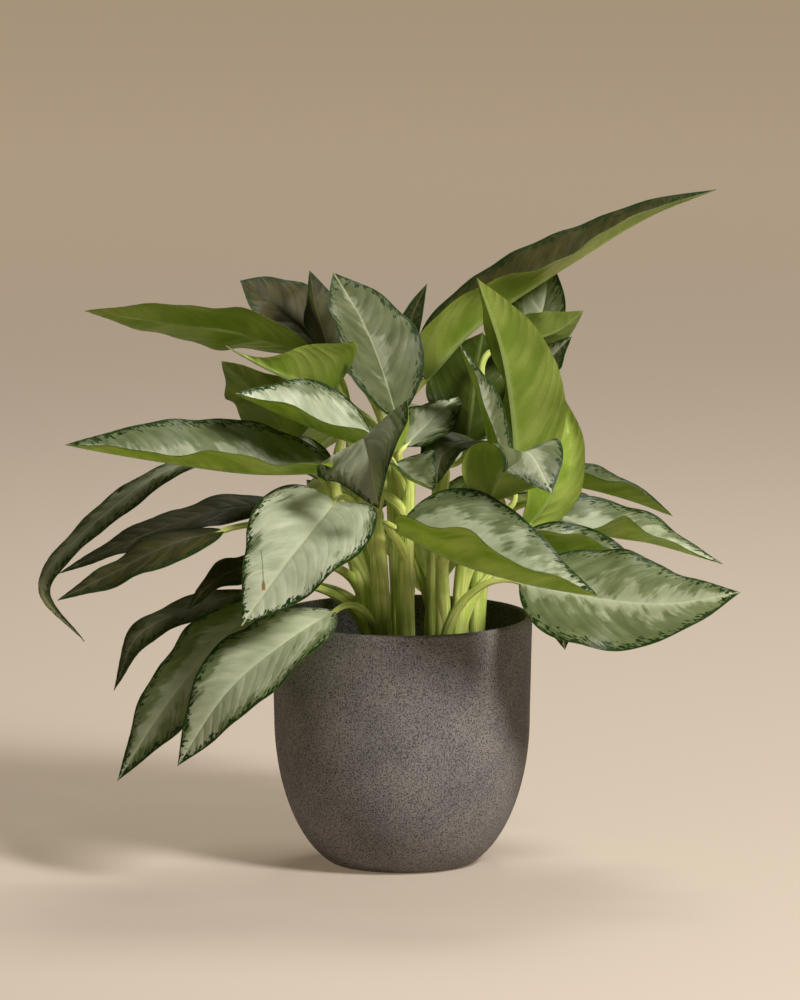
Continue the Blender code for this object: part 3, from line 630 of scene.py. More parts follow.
def cane_radius(shoot, height):
    """The radius of a whole cane, the stalks round its core included."""
    share = min(1.0, max(0.0, (height - SOIL_TOP) / (shoot.top[2] - SOIL_TOP)))
    return CANE_FOOT_RADIUS + (CANE_TOP_RADIUS - CANE_FOOT_RADIUS) * share


def new_tree(name, inputs):
    """A geometry tree with a mesh or curve coming in and going out, and named inputs for its sizes."""
    tree = bpy.data.node_groups.new(name, "GeometryNodeTree")
    tree.interface.new_socket("Geometry", in_out="INPUT", socket_type="NodeSocketGeometry")
    for label, kind in inputs.items():
        tree.interface.new_socket(label, in_out="INPUT", socket_type=kind)
    tree.interface.new_socket("Geometry", in_out="OUTPUT", socket_type="NodeSocketGeometry")
    return tree, tree.nodes.new("NodeGroupInput"), tree.nodes.new("NodeGroupOutput")


def grown(name, source, tree, values):
    """The plain mesh piece that a geometry tree makes from a source object, which is then removed."""
    bpy.context.scene.collection.objects.link(source)
    modifier = source.modifiers.new("Grow", "NODES")
    modifier.node_group = tree
    for item in tree.interface.items_tree:
        if item.in_out == "INPUT" and item.name in values:
            modifier[item.identifier] = values[item.name]
    graph = bpy.context.evaluated_depsgraph_get()
    mesh = bpy.data.meshes.new_from_object(source.evaluated_get(graph))
    bpy.data.objects.remove(source, do_unlink=True)
    mesh.name = name
    mesh.shade_smooth()
    piece = bpy.data.objects.new(name, mesh)
    bpy.context.scene.collection.objects.link(piece)
    return piece


def stalk_tree():
    """Turns curves with a radius at each point into fluted fleshy tubes with closed ends."""
    inputs = {
        "Spacing": "NodeSocketFloat",
        "Sides": "NodeSocketInt",
        "Flutes": "NodeSocketInt",
        "Flute depth": "NodeSocketFloat",
        "Skin": "NodeSocketMaterial",
    }
    tree, given, result = new_tree("fleshy_stalk", inputs)
    source = given.outputs
    lines = {"Curve": source["Geometry"], "Length": source["Spacing"]}
    lines = add(tree, "GeometryNodeResampleCurve", lines, mode="LENGTH").outputs[0]
    run = add(tree, "GeometryNodeSplineParameter", {}).outputs["Length"]
    lines = {"Geometry": lines, "Name": "stalk_along", "Value": run}
    lines = add(tree, "GeometryNodeStoreNamedAttribute", lines, data_type="FLOAT").outputs[0]
    ring = add(tree, "GeometryNodeCurvePrimitiveCircle", {"Resolution": source["Sides"], "Radius": 1.0})
    index = add(tree, "GeometryNodeInputIndex", {}).outputs[0]
    share = add(tree, "ShaderNodeMath", {0: index, 1: source["Sides"]}, operation="DIVIDE").outputs[0]
    turns = add(tree, "ShaderNodeMath", {0: share, 1: source["Flutes"]}, operation="MULTIPLY").outputs[0]
    angle = add(tree, "ShaderNodeMath", {0: turns, 1: 2 * math.pi}, operation="MULTIPLY").outputs[0]
    wave = add(tree, "ShaderNodeMath", {0: angle}, operation="COSINE").outputs[0]
    swell = {0: wave, 1: source["Flute depth"], 2: 1.0}
    swell = add(tree, "ShaderNodeMath", swell, operation="MULTIPLY_ADD").outputs[0]
    place = add(tree, "GeometryNodeInputPosition", {}).outputs[0]
    fluted = add(tree, "ShaderNodeVectorMath", {0: place, 3: swell}, operation="SCALE").outputs[0]
    profile = {"Geometry": ring.outputs[0], "Name": "stalk_around", "Value": place}
    profile = add(tree, "GeometryNodeStoreNamedAttribute", profile, data_type="FLOAT_VECTOR").outputs[0]
    profile = {"Geometry": profile, "Position": fluted}
    profile = add(tree, "GeometryNodeSetPosition", profile).outputs[0]
    radius = add(tree, "GeometryNodeInputRadius", {}).outputs[0]
    tube = {"Curve": lines, "Profile Curve": profile, "Scale": radius, "Fill Caps": True}
    tube = add(tree, "GeometryNodeCurveToMesh", tube)
    whole = add(tree, "GeometryNodeRealizeInstances", {"Geometry": tube.outputs[0]})
    skinned = {"Geometry": whole.outputs[0], "Material": source["Skin"]}
    skinned = add(tree, "GeometryNodeSetMaterial", skinned)
    tree.links.new(skinned.outputs[0], result.inputs[0])
    return tree


def add_strand(curve, points, radii):
    """Adds a line through points to a curve object's data, with a radius at each point."""
    spline = curve.splines.new("POLY")
    spline.points.add(len(points) - 1)
    for knot, point, radius in zip(spline.points, points, radii):
        knot.co = (*(c * MM for c in point), 1.0)
        knot.radius = radius * MM


def make_shoot(shoot, tree, skin):
    """One cane with the stalks of its leaves."""
    curve = bpy.data.curves.new(shoot.name + "_lines", "CURVE")
    curve.dimensions = "3D"
    heights = np.linspace(CANE_FOOT, shoot.top[2], CORE_POINTS)
    radii = [CORE_SHARE * cane_radius(shoot, height) for height in heights]
    add_strand(curve, [cane_centre(shoot, height) for height in heights], radii)
    for number, leaf in enumerate(LEAVES):
        if leaf.shoot == shoot.name:
            add_strand(curve, stalk_points(shoot, leaf, number), stalk_radii())
    source = bpy.data.objects.new(shoot.name + "_source", curve)
    sizes = {"Spacing": 3.5 * MM, "Sides": 20, "Flutes": 5, "Flute depth": 0.05, "Skin": skin}
    piece = grown(shoot.name.replace("shoot", "stalks"), source, tree, sizes)
    stand_for(piece, shoot.name)


def turned(profile, sides):
    """Points and faces of a closed shape turned round Z from (radius, height) pairs that begin and
    end on Z. They run so that the shape lies to the left of its outline."""
    angles = 2 * math.pi * np.arange(sides) / sides
    radii, heights = np.array(profile[1:-1]).T
    heights = np.broadcast_to(heights[:, None], (len(radii), sides))
    rings = [radii[:, None] * np.cos(angles), radii[:, None] * np.sin(angles), heights]
    rings = np.stack(rings, axis=-1)
    points = np.vstack([[(0, 0, profile[0][1])], rings.reshape(-1, 3), [(0, 0, profile[-1][1])]])
    faces = []
    last = len(points) - 1
    for k in range(sides):
        j = (k + 1) % sides
        faces.append((0, 1 + k, 1 + j))
        for ring in range(len(radii) - 1):
            here = 1 + ring * sides
            faces.append((here + k, here + sides + k, here + sides + j, here + j))
        faces.append((last, last - sides + j, last - sides + k))
    return points, faces


def bowl_radius(height, shrink, drop):
    """The bowl's radius at a height. Shrink is how far inside the outer face it lies, and drop how
    far its lowest point is raised."""
    reach = POT_SIDE_RADIUS - BOWL_CENTRE_RADIUS - shrink
    share = min(1.0, (BOWL_TOP - height) / (BOWL_DEPTH - drop))
    return BOWL_CENTRE_RADIUS + reach * math.sqrt(1.0 - share * share)


def bowl_heights(lowest, count):
    """Heights down the bowl, closer together towards the foot."""
    return [lowest + (BOWL_TOP - lowest) * (1.0 - i / count) ** BOWL_CROWDING for i in range(count + 1)]


def foot_radius(height):
    """The outside of the bowl with its foot's edge rounded over."""
    short = max(0.0, 1.0 - height / FOOT_ROUNDING)
    return bowl_radius(height, 0.0, 0.0) - FOOT_ROUNDING * (1.0 - math.sqrt(1.0 - short * short))


def side_radius(height, shrink):
    """The radius of the pot's side above its bowl. Shrink is how far inside the outer face it lies."""
    share = (height - BOWL_TOP) / (POT_HEIGHT - BOWL_TOP)
    return POT_SIDE_RADIUS + (POT_RIM_RADIUS - POT_SIDE_RADIUS) * share - shrink


def make_pot(material):
    """The pot, turned from an outline that goes up its inside, over its round lip and down outside."""
    inside = [(radius, POT_FLOOR) for radius in FLOOR_RADII]
    for height in reversed(bowl_heights(POT_FLOOR, POT_RINGS // 2)):
        inside.append((bowl_radius(height, POT_WALL, POT_FLOOR), height))
    lip_radius = POT_WALL / 2
    sides = np.linspace(BOWL_TOP, POT_HEIGHT - lip_radius, SIDE_ROWS)
    inside += [(side_radius(height, POT_WALL), height) for height in sides[1:-1]]
    centre = POT_RIM_RADIUS - lip_radius
    lip = []
    for angle in np.linspace(math.pi, 0.0, LIP_POINTS):
        lip.append((centre + lip_radius * math.cos(angle), POT_HEIGHT - lip_radius * (1 - math.sin(angle))))
    outside = [(side_radius(height, 0.0), height) for height in sides[-2:0:-1]]
    bowl = [height for height in bowl_heights(0.0, POT_RINGS) if height > FOOT_ROUNDING]
    outside += [(foot_radius(height), height) for height in bowl + FOOT_HEIGHTS]
    outside += [(radius, 0.0) for radius in FOOT_RADII]
    points, faces = turned(inside + lip + outside, POT_SIDES)
    piece = mesh_piece("stoneware_pot", points, faces, [material])
    stand_for(piece, "pot")


def crumb_tree():
    """Scatters crumbs on the faces that look up, inside the pot's wall."""
    inputs = {
        "Spacing": "NodeSocketFloat",
        "Density": "NodeSocketFloat",
        "Smallest": "NodeSocketFloat",
        "Largest": "NodeSocketFloat",
        "Reach": "NodeSocketFloat",
        "Earth": "NodeSocketMaterial",
    }
    tree, given, result = new_tree("soil_crumbs", inputs)
    source = given.outputs
    normal = add(tree, "GeometryNodeInputNormal", {}).outputs[0]
    rise = add(tree, "ShaderNodeSeparateXYZ", {0: normal}).outputs[2]
    upward = add(tree, "ShaderNodeMath", {0: rise, 1: 0.5}, operation="GREATER_THAN").outputs[0]
    place = add(tree, "GeometryNodeInputPosition", {}).outputs[0]
    flat = add(tree, "ShaderNodeVectorMath", {0: place, 1: (1.0, 1.0, 0.0)}, operation="MULTIPLY").outputs[0]
    radius = add(tree, "ShaderNodeVectorMath", {0: flat}, operation="LENGTH").outputs["Value"]
    near = add(tree, "ShaderNodeMath", {0: radius, 1: source["Reach"]}, operation="LESS_THAN").outputs[0]
    chosen = add(tree, "ShaderNodeMath", {0: upward, 1: near}, operation="MULTIPLY").outputs[0]
    spots = {"Mesh": source["Geometry"], "Selection": chosen, "Seed": 4}
    spots["Distance Min"] = source["Spacing"]
    spots["Density Max"] = source["Density"]
    spots = add(tree, "GeometryNodeDistributePointsOnFaces", spots, distribute_method="POISSON")
    crumb = add(tree, "GeometryNodeMeshIcoSphere", {"Radius": 1.0, "Subdivisions": 1})
    spin = {0: (0.0, 0.0, 0.0), 1: (6.2, 6.2, 6.2), "Seed": 7}
    spin = add(tree, "FunctionNodeRandomValue", spin, data_type="FLOAT_VECTOR").outputs[0]
    size = {2: source["Smallest"], 3: source["Largest"], "Seed": 11}
    size = add(tree, "FunctionNodeRandomValue", size, data_type="FLOAT").outputs[1]
    stretch = {0: (0.6, 0.6, 0.45), 1: (1.3, 1.0, 0.8), "Seed": 13}
    stretch = add(tree, "FunctionNodeRandomValue", stretch, data_type="FLOAT_VECTOR").outputs[0]
    sizes = add(tree, "ShaderNodeVectorMath", {0: stretch, 3: size}, operation="SCALE").outputs[0]
    crumbs = {"Points": spots.outputs[0], "Instance": crumb.outputs[0], "Rotation": spin, "Scale": sizes}
    crumbs = add(tree, "GeometryNodeInstanceOnPoints", crumbs)
    both = tree.nodes.new("GeometryNodeJoinGeometry")
    tree.links.new(crumbs.outputs[0], both.inputs[0])
    tree.links.new(source["Geometry"], both.inputs[0])
    whole = add(tree, "GeometryNodeRealizeInstances", {"Geometry": both.outputs[0]})
    earth = add(tree, "GeometryNodeSetMaterial", {"Geometry": whole.outputs[0], "Material": source["Earth"]})
    tree.links.new(earth.outputs[0], result.inputs[0])
    return tree


def lumps(points):
    """Low lumps in the soil, from a few crossing waves, in millimetres."""
    x, y = points[:, 0], points[:, 1]
    wide = np.sin(x / 13.0 + 1.1) * np.cos(y / 17.0 - 0.4)
    narrow = np.sin(x / 4.7 - y / 6.1) * np.cos(y / 5.3 + x / 9.0)
    return WIDE_LUMP * wide + NARROW_LUMP * narrow


def make_soil(material):
    """The soil, which fills the pot from its floor and has a lumpy top with crumbs on it."""
    floor = POT_FLOOR + SOIL_GAP
    wall = side_radius(SOIL_TOP, POT_WALL + 2 * SOIL_GAP)
    profile = [(0.0, floor)]
    for height in reversed(bowl_heights(POT_FLOOR, SOIL_BOWL_RINGS)):
        radius = bowl_radius(height, POT_WALL, POT_FLOOR) - 2 * SOIL_GAP
        profile.append((radius, max(height, floor)))
    profile += [(wall, SOIL_TOP - SOIL_SHOULDER)]
    profile += [(wall * share, SOIL_TOP) for share in np.linspace(1.0, 0.03, SOIL_RINGS)]
    profile += [(0.0, SOIL_TOP)]
    points, faces = turned(profile, SOIL_SIDES)
    top = points[:, 2] == SOIL_TOP
    points[top, 2] += lumps(points[top]) - LUMP_DROP
    source = mesh_piece("soil_source", points, [face[::-1] for face in faces], [material])
    bpy.context.scene.collection.objects.unlink(source)
    sizes = {
        "Spacing": 1.6 * MM,
        "Density": 90000.0,
        "Smallest": 0.8 * MM,
        "Largest": 2.6 * MM,
        "Reach": (wall - CRUMB_MARGIN) * MM,
        "Earth": material,
    }
    piece = grown("potting_soil", source, crumb_tree(), sizes)
    stand_for(piece, "soil")


def vein_places(tree):
    """Places that follow a blade's side veins, for its patterns, in millimetres: first a vector of
    where the side vein starts, how far along it the place is and which half and blade that is, then
    the first of these, the distances from the midrib and the edge, and the share between the two."""
    place = add(tree, "ShaderNodeAttribute", {}, attribute_name="blade_place").outputs["Vector"]
    across, along, edge = add(tree, "ShaderNodeSeparateXYZ", {0: place}).outputs
    number = add(tree, "ShaderNodeAttribute", {}, attribute_name="blade_number").outputs["Fac"]
    away = add(tree, "ShaderNodeMath", {0: across}, operation="ABSOLUTE").outputs[0]
    width = add(tree, "ShaderNodeMath", {0: away, 1: edge}, operation="ADD").outputs[0]
    reach = add(tree, "ShaderNodeMath", {0: away, 1: width}, operation="DIVIDE").outputs[0]
    square = add(tree, "ShaderNodeMath", {0: reach, 1: 2.0}, operation="POWER").outputs[0]
    slope = {0: square, 1: VEIN_CURVE, 2: VEIN_LEAN}
    slope = add(tree, "ShaderNodeMath", slope, operation="MULTIPLY_ADD").outputs[0]
    back = add(tree, "ShaderNodeMath", {0: slope, 1: away}, operation="MULTIPLY").outputs[0]
    vein = add(tree, "ShaderNodeMath", {0: along, 1: back}, operation="SUBTRACT").outputs[0]
    own = add(tree, "ShaderNodeMath", {0: vein, 1: number}, operation="ADD").outputs[0]
    run = {0: away, 1: PATTERN_LEAN, 2: along}
    run = add(tree, "ShaderNodeMath", run, operation="MULTIPLY_ADD").outputs[0]
    half = add(tree, "ShaderNodeMath", {0: across}, operation="SIGN").outputs[0]
    other = {0: half, 1: HALF_STEP, 2: number}
    other = add(tree, "ShaderNodeMath", other, operation="MULTIPLY_ADD").outputs[0]
    veins = add(tree, "ShaderNodeCombineXYZ", {0: own, 1: run, 2: other}).outputs[0]
    return veins, vein, away, edge, reach


def noise_along(tree, veins, wide, long, detail=2.0):
    """Noise whose marks are so many millimetres wide and long, with the length along the side veins."""
    scale = {0: veins, 1: (1.0 / wide, 1.0 / long, 1.0)}
    scaled = add(tree, "ShaderNodeVectorMath", scale, operation="MULTIPLY").outputs[0]
    return add(tree, "ShaderNodeTexNoise", {"Vector": scaled, "Scale": 1.0, "Detail": detail}).outputs[0]


def vein_lines(tree, vein, sharpness):
    """1 along each side vein, falling off beside it."""
    turn = {0: vein, 1: 2 * math.pi / VEIN_SPACING}
    turn = add(tree, "ShaderNodeMath", turn, operation="MULTIPLY").outputs[0]
    wave = add(tree, "ShaderNodeMath", {0: turn}, operation="COSINE").outputs[0]
    lifted = add(tree, "ShaderNodeMath", {0: wave, 1: 0.5, 2: 0.5}, operation="MULTIPLY_ADD").outputs[0]
    return add(tree, "ShaderNodeMath", {0: lifted, 1: sharpness}, operation="POWER").outputs[0]


def slit_distance(tree):
    """How far a place on the foremost blade lies from the slit in it, and how far along the slit that
    is, as a share. The other blades lie too far off to have one."""
    place = add(tree, "ShaderNodeAttribute", {}, attribute_name="blade_place").outputs["Vector"]
    across, along = add(tree, "ShaderNodeSeparateXYZ", {0: place}).outputs[:2]
    number = add(tree, "ShaderNodeAttribute", {}, attribute_name="blade_number").outputs["Fac"]
    spot = add(tree, "ShaderNodeCombineXYZ", {0: across, 1: along, 2: number}).outputs[0]
    start = (*SLIT_START, 0.0)
    way = Vector((*SLIT_END, 0.0)) - Vector(start)
    from_start = add(tree, "ShaderNodeVectorMath", {0: spot, 1: start}, operation="SUBTRACT").outputs[0]
    run = {0: from_start, 1: way / way.length_squared}
    run = add(tree, "ShaderNodeVectorMath", run, operation="DOT_PRODUCT").outputs["Value"]
    run = add(tree, "ShaderNodeClamp", {0: run, 1: 0.0, 2: 1.0}).outputs[0]
    along_slit = add(tree, "ShaderNodeVectorMath", {0: way, 3: run}, operation="SCALE").outputs[0]
    off = add(tree, "ShaderNodeVectorMath", {0: from_start, 1: along_slit}, operation="SUBTRACT").outputs[0]
    return add(tree, "ShaderNodeVectorMath", {0: off}, operation="LENGTH").outputs["Value"], run


def healed_slit(tree):
    """How much of a place belongs to the thin slit in the foremost blade, and its colour. It has healed
    green, and is brown and wider at its lower end."""
    off, run = slit_distance(tree)
    lower = add(tree, "ShaderNodeMapRange", {0: run, 1: 0.78, 2: 0.92}, **SMOOTH).outputs[0]
    wide = add(tree, "ShaderNodeMath", {0: lower, 1: 1.15, 2: 0.35}, operation="MULTIPLY_ADD").outputs[0]
    mark = add(tree, "ShaderNodeMath", {0: off, 1: wide}, operation="DIVIDE").outputs[0]
    mark = add(tree, "ShaderNodeMapRange", {0: mark, 1: 0.7, 2: 1.3, 3: 0.9, 4: 0.0}, **SMOOTH).outputs[0]
    return mark, add(tree, "ShaderNodeMix", {0: lower, 6: "#5d7a3a", 7: "#96602f"}, **COLOURS).outputs[2]


def leaf_shader(tree, output, colour, glow, height, roughness, through):
    """A waxy leaf skin, part of whose light comes through from the other side."""
    bump = {"Height": height, "Strength": 0.4, "Distance": 0.0006}
    bump = add(tree, "ShaderNodeBump", bump).outputs[0]
    skin = {"Base Color": colour, "Roughness": roughness, "IOR": 1.45, "Normal": bump}
    skin["Specular IOR Level"] = 0.35
    skin = add(tree, "ShaderNodeBsdfPrincipled", skin).outputs[0]
    shine = add(tree, "ShaderNodeBsdfTranslucent", {"Color": glow, "Normal": bump}).outputs[0]
    both = add(tree, "ShaderNodeMixShader", {0: through, 1: skin, 2: shine}).outputs[0]
    tree.links.new(both, output.inputs[0])


def silver_cells(tree, veins, away, pale):
    """The silver of a blade, in soft patches about 14 mm wide and 36 mm long with finer streaks in
    them, palest beside the midrib. It also gives the patches."""
    patches = noise_along(tree, veins, wide=14.0, long=36.0, detail=3.0)
    patches = add(tree, "ShaderNodeMapRange", {0: patches, 1: 0.3, 2: 0.7}, **SMOOTH).outputs[0]
    dull = add(tree, "ShaderNodeMix", {0: patches, 6: "#949c7c", 7: "#b6bc9c"}, **COLOURS).outputs[2]
    bright = add(tree, "ShaderNodeMix", {0: patches, 6: "#bcc6aa", 7: "#dbe0c8"}, **COLOURS).outputs[2]
    silver = add(tree, "ShaderNodeMix", {0: pale, 6: dull, 7: bright}, **COLOURS).outputs[2]
    streaks = noise_along(tree, veins, wide=4.0, long=16.0, detail=4.0)
    streaks = {0: streaks, 1: 0.48, 2: 0.75, 4: 0.3}
    streaks = add(tree, "ShaderNodeMapRange", streaks, **SMOOTH).outputs[0]
    silver = add(tree, "ShaderNodeMix", {0: streaks, 6: silver, 7: "#8b9b76"}, **COLOURS).outputs[2]
    middle = add(tree, "ShaderNodeMapRange", {0: away, 1: 0.0, 2: 8.0, 3: 0.5, 4: 0.0}, **SMOOTH).outputs[0]
    return add(tree, "ShaderNodeMix", {0: middle, 6: silver, 7: "#d8dec4"}, **COLOURS).outputs[2], patches


def green_clouds(tree, veins, reach, clouds):
    """1 in the greener outer part of each half. Its border runs in flames along the side veins."""
    flames = noise_along(tree, veins, wide=5.0, long=16.0, detail=4.0)
    zones = noise_along(tree, veins, wide=26.0, long=40.0, detail=3.0)
    border = reach
    for part, weight in ((flames, 0.8), (zones, 1.6), (clouds, 0.8)):
        border = {0: part, 1: weight, 2: border}
        border = add(tree, "ShaderNodeMath", border, operation="MULTIPLY_ADD").outputs[0]
    return add(tree, "ShaderNodeMapRange", {0: border, 1: 2.0, 2: 2.3, 4: 0.85}, **SMOOTH).outputs[0]


def dark_edge(tree, veins, edge, pale):
    """1 on the dark band at the edge, 1 to 4 mm wide, and on the flecks inside it, which come and go.
    It also gives the noise that the band's width follows."""
    wobble = noise_along(tree, veins, wide=6.0, long=12.0)
    band = {0: wobble, 1: 0.35, 2: 0.7, 3: 1.0, 4: 4.0}
    band = add(tree, "ShaderNodeMapRange", band, **SMOOTH).outputs[0]
    inside = add(tree, "ShaderNodeMath", {0: edge, 1: band}, operation="SUBTRACT").outputs[0]
    margin = {0: inside, 1: -0.4, 2: 0.8, 3: 1.0, 4: 0.0}
    margin = add(tree, "ShaderNodeMapRange", margin, **SMOOTH).outputs[0]
    # Most flecks lie 1.6 mm inside the band. Away from there they get rarer, soonest on pale blades.
    spread = add(tree, "ShaderNodeMath", {0: pale, 1: 0.025, 2: 0.02}, operation="MULTIPLY_ADD").outputs[0]
    off = add(tree, "ShaderNodeMath", {0: inside, 1: 1.6}, operation="SUBTRACT").outputs[0]
    off = add(tree, "ShaderNodeMath", {0: off}, operation="ABSOLUTE").outputs[0]
    limit = add(tree, "ShaderNodeMath", {0: off, 1: spread, 2: 0.27}, operation="MULTIPLY_ADD").outputs[0]
    gaps = noise_along(tree, veins, wide=16.0, long=20.0)
    limit = add(tree, "ShaderNodeMath", {0: gaps, 1: 0.4, 2: limit}, operation="MULTIPLY_ADD").outputs[0]
    flecks = noise_along(tree, veins, wide=4.0, long=7.0, detail=4.0)
    flecks = add(tree, "ShaderNodeMath", {0: flecks, 1: limit}, operation="SUBTRACT").outputs[0]
    flecks = add(tree, "ShaderNodeMapRange", {0: flecks, 1: 0.0, 2: 0.05}, **SMOOTH).outputs[0]
    return add(tree, "ShaderNodeMath", {0: margin, 1: flecks}, operation="MAXIMUM").outputs[0], wobble


def leaf_upper():
    """The upper side of a live variegated leaf. To the eye it is silvery with a satin gloss, clouded
    with green along its side veins, and edged by a dark green band with a broken line of flecks."""
    material, tree, output = new_material("variegated_leaf_upper")
    veins, vein, away, edge, reach = vein_places(tree)
    tone = add(tree, "ShaderNodeAttribute", {}, attribute_name="blade_tone").outputs["Vector"]
    dark, pale, clouds = add(tree, "ShaderNodeSeparateXYZ", {0: tone}).outputs
    silver, patches = silver_cells(tree, veins, away, pale)
    cloud = green_clouds(tree, veins, reach, clouds)
    greens = add(tree, "ShaderNodeMix", {0: patches, 6: "#525f3c", 7: "#76815a"}, **COLOURS).outputs[2]
    # Painted shade: blades that stand in shade are darkened above towards olive brown, with no more than a
    # trace of their silver.
    painted_shade_olives = add(tree, "ShaderNodeMix", {0: patches, 6: "#3a3716", 7: "#4e4920"}, **COLOURS).outputs[2]
    green, wobble = dark_edge(tree, veins, edge, pale)
    edges = add(tree, "ShaderNodeMix", {0: wobble, 6: "#12240b", 7: "#2b471d"}, **COLOURS).outputs[2]
    # The midrib is a thin pale line, and the very edge is paler than its band.
    line = add(tree, "ShaderNodeMapRange", {0: away, 1: 0.4, 2: 1.1, 3: 0.8, 4: 0.0}, **SMOOTH).outputs[0]
    # The pale line fades as painted shade darkens the blade.
    seen = add(tree, "ShaderNodeMath", {0: dark, 1: -0.95, 2: 1.0}, operation="MULTIPLY_ADD").outputs[0]
    line = add(tree, "ShaderNodeMath", {0: line, 1: seen}, operation="MULTIPLY").outputs[0]
    rim = add(tree, "ShaderNodeMapRange", {0: edge, 1: 0.2, 2: 0.6, 3: 0.35, 4: 0.0}, **SMOOTH).outputs[0]
    colour = silver
    layers = [(cloud, greens), (dark, painted_shade_olives), (green, edges), (line, "#d3dbb2"), (rim, "#6f8a3f")]
    for share, layer in [*layers, healed_slit(tree)]:
        colour = add(tree, "ShaderNodeMix", {0: share, 6: colour, 7: layer}, **COLOURS).outputs[2]
    glow = add(tree, "ShaderNodeMix", {0: green, 6: "#c3d860", 7: "#547a1f"}, **COLOURS).outputs[2]
    # Painted shade also dims the light that comes through the darkened blades.
    glow = add(tree, "ShaderNodeMix", {0: dark, 6: glow, 7: "#3c3f1a"}, **COLOURS).outputs[2]
    # The skin is sunk along its side veins, in places broadly. Its grain is drawn coarser than the
    # real one, which is too fine to show.
    raised = noise_along(tree, veins, wide=1.2, long=1.8, detail=3.0)
    valley = {0: vein_lines(tree, vein, sharpness=1.5), 1: patches}
    valley = add(tree, "ShaderNodeMath", valley, operation="MULTIPLY").outputs[0]
    for part in (vein_lines(tree, vein, sharpness=5.0), valley):
        raised = {0: part, 1: -0.5, 2: raised}
        raised = add(tree, "ShaderNodeMath", raised, operation="MULTIPLY_ADD").outputs[0]
    # The blades darkened with painted shade are duller than the silver ones.
    rough = add(tree, "ShaderNodeMath", {0: dark, 1: 0.2, 2: 0.34}, operation="MULTIPLY_ADD").outputs[0]
    leaf_shader(tree, output, colour, glow, raised, roughness=rough, through=0.3)
    return material


def leaf_under():
    """The underside of the same leaf. To the eye it is plain fresh green, smooth and a little glossy,
    with raised paler veins, and it lights up where the light stands behind it."""
    material, tree, output = new_material("plain_leaf_underside")
    veins, vein, away, edge = vein_places(tree)[:4]
    under = add(tree, "ShaderNodeAttribute", {}, attribute_name="blade_under").outputs["Fac"]
    # Broad soft stretches between fresh green and yellow green.
    broad = noise_along(tree, veins, wide=40.0, long=70.0)
    broad = add(tree, "ShaderNodeMapRange", {0: broad, 1: 0.35, 2: 0.65}, **SMOOTH).outputs[0]
    colour = add(tree, "ShaderNodeMix", {0: broad, 6: "#9cba42", 7: "#d6e874"}, **COLOURS).outputs[2]
    grain = noise_along(tree, veins, wide=1.4, long=2.4, detail=3.0)
    fine = add(tree, "ShaderNodeMapRange", {0: grain, 1: 0.3, 2: 0.7, 4: 0.2}, **SMOOTH).outputs[0]
    lines = vein_lines(tree, vein, sharpness=12.0)
    faint = add(tree, "ShaderNodeMath", {0: lines, 1: 0.06}, operation="MULTIPLY").outputs[0]
    rim = add(tree, "ShaderNodeMapRange", {0: edge, 1: 0.3, 2: 6.0, 3: 0.5, 4: 0.0}, **SMOOTH).outputs[0]
    # The midrib stands out pale, and is as wide as a twentieth of the blade.
    width = add(tree, "ShaderNodeMath", {0: away, 1: edge}, operation="ADD").outputs[0]
    inner = add(tree, "ShaderNodeMath", {0: width, 1: 0.035, 2: 0.3}, operation="MULTIPLY_ADD").outputs[0]
    outer = add(tree, "ShaderNodeMath", {0: inner, 1: 1.2}, operation="ADD").outputs[0]
    rib = {0: away, 1: inner, 2: outer, 3: 0.8, 4: 0.0}
    rib = add(tree, "ShaderNodeMapRange", rib, **SMOOTH).outputs[0]
    # Painted shade: the underside of a blade that stands in shade is darkened, its midrib too.
    ribs = add(tree, "ShaderNodeMix", {0: under, 6: "#b9cb80", 7: "#7d9148"}, **COLOURS).outputs[2]
    layers = [(fine, "#5f7d2f"), (faint, "#9db266"), (rim, "#d2e468"), (under, "#3a4d18"), (rib, ribs)]
    for share, layer in layers:
        colour = add(tree, "ShaderNodeMix", {0: share, 6: colour, 7: layer}, **COLOURS).outputs[2]
    # The light that comes through is banded with painted shade, brighter at the thin edge, and weak where
    # painted shade darkens the underside.
    bands = {0: noise_along(tree, veins, wide=11.0, long=60.0), 1: 0.4, 2: 0.65, 4: 0.5}
    bands = add(tree, "ShaderNodeMapRange", bands, **SMOOTH).outputs[0]
    bright = add(tree, "ShaderNodeMapRange", {0: edge, 1: 0.5, 2: 7.0, 3: 0.7, 4: 0.0}, **SMOOTH).outputs[0]
    glow = "#c6de52"
    for share, layer in ((bands, "#86a32f"), (bright, "#e2ec62"), (under, "#44561a")):
        glow = add(tree, "ShaderNodeMix", {0: share, 6: glow, 7: layer}, **COLOURS).outputs[2]
    # The skin is raised along its side veins, in places broadly, and its grain is coarse here too.
    raised = add(tree, "ShaderNodeMath", {0: lines, 1: 0.3, 2: grain}, operation="MULTIPLY_ADD").outputs[0]
    swell = {0: vein_lines(tree, vein, sharpness=1.5), 1: broad}
    swell = add(tree, "ShaderNodeMath", swell, operation="MULTIPLY").outputs[0]
    raised = add(tree, "ShaderNodeMath", {0: swell, 1: 1.1, 2: raised}, operation="MULTIPLY_ADD").outputs[0]
    leaf_shader(tree, output, colour, glow, raised, roughness=0.3, through=0.5)
    return material


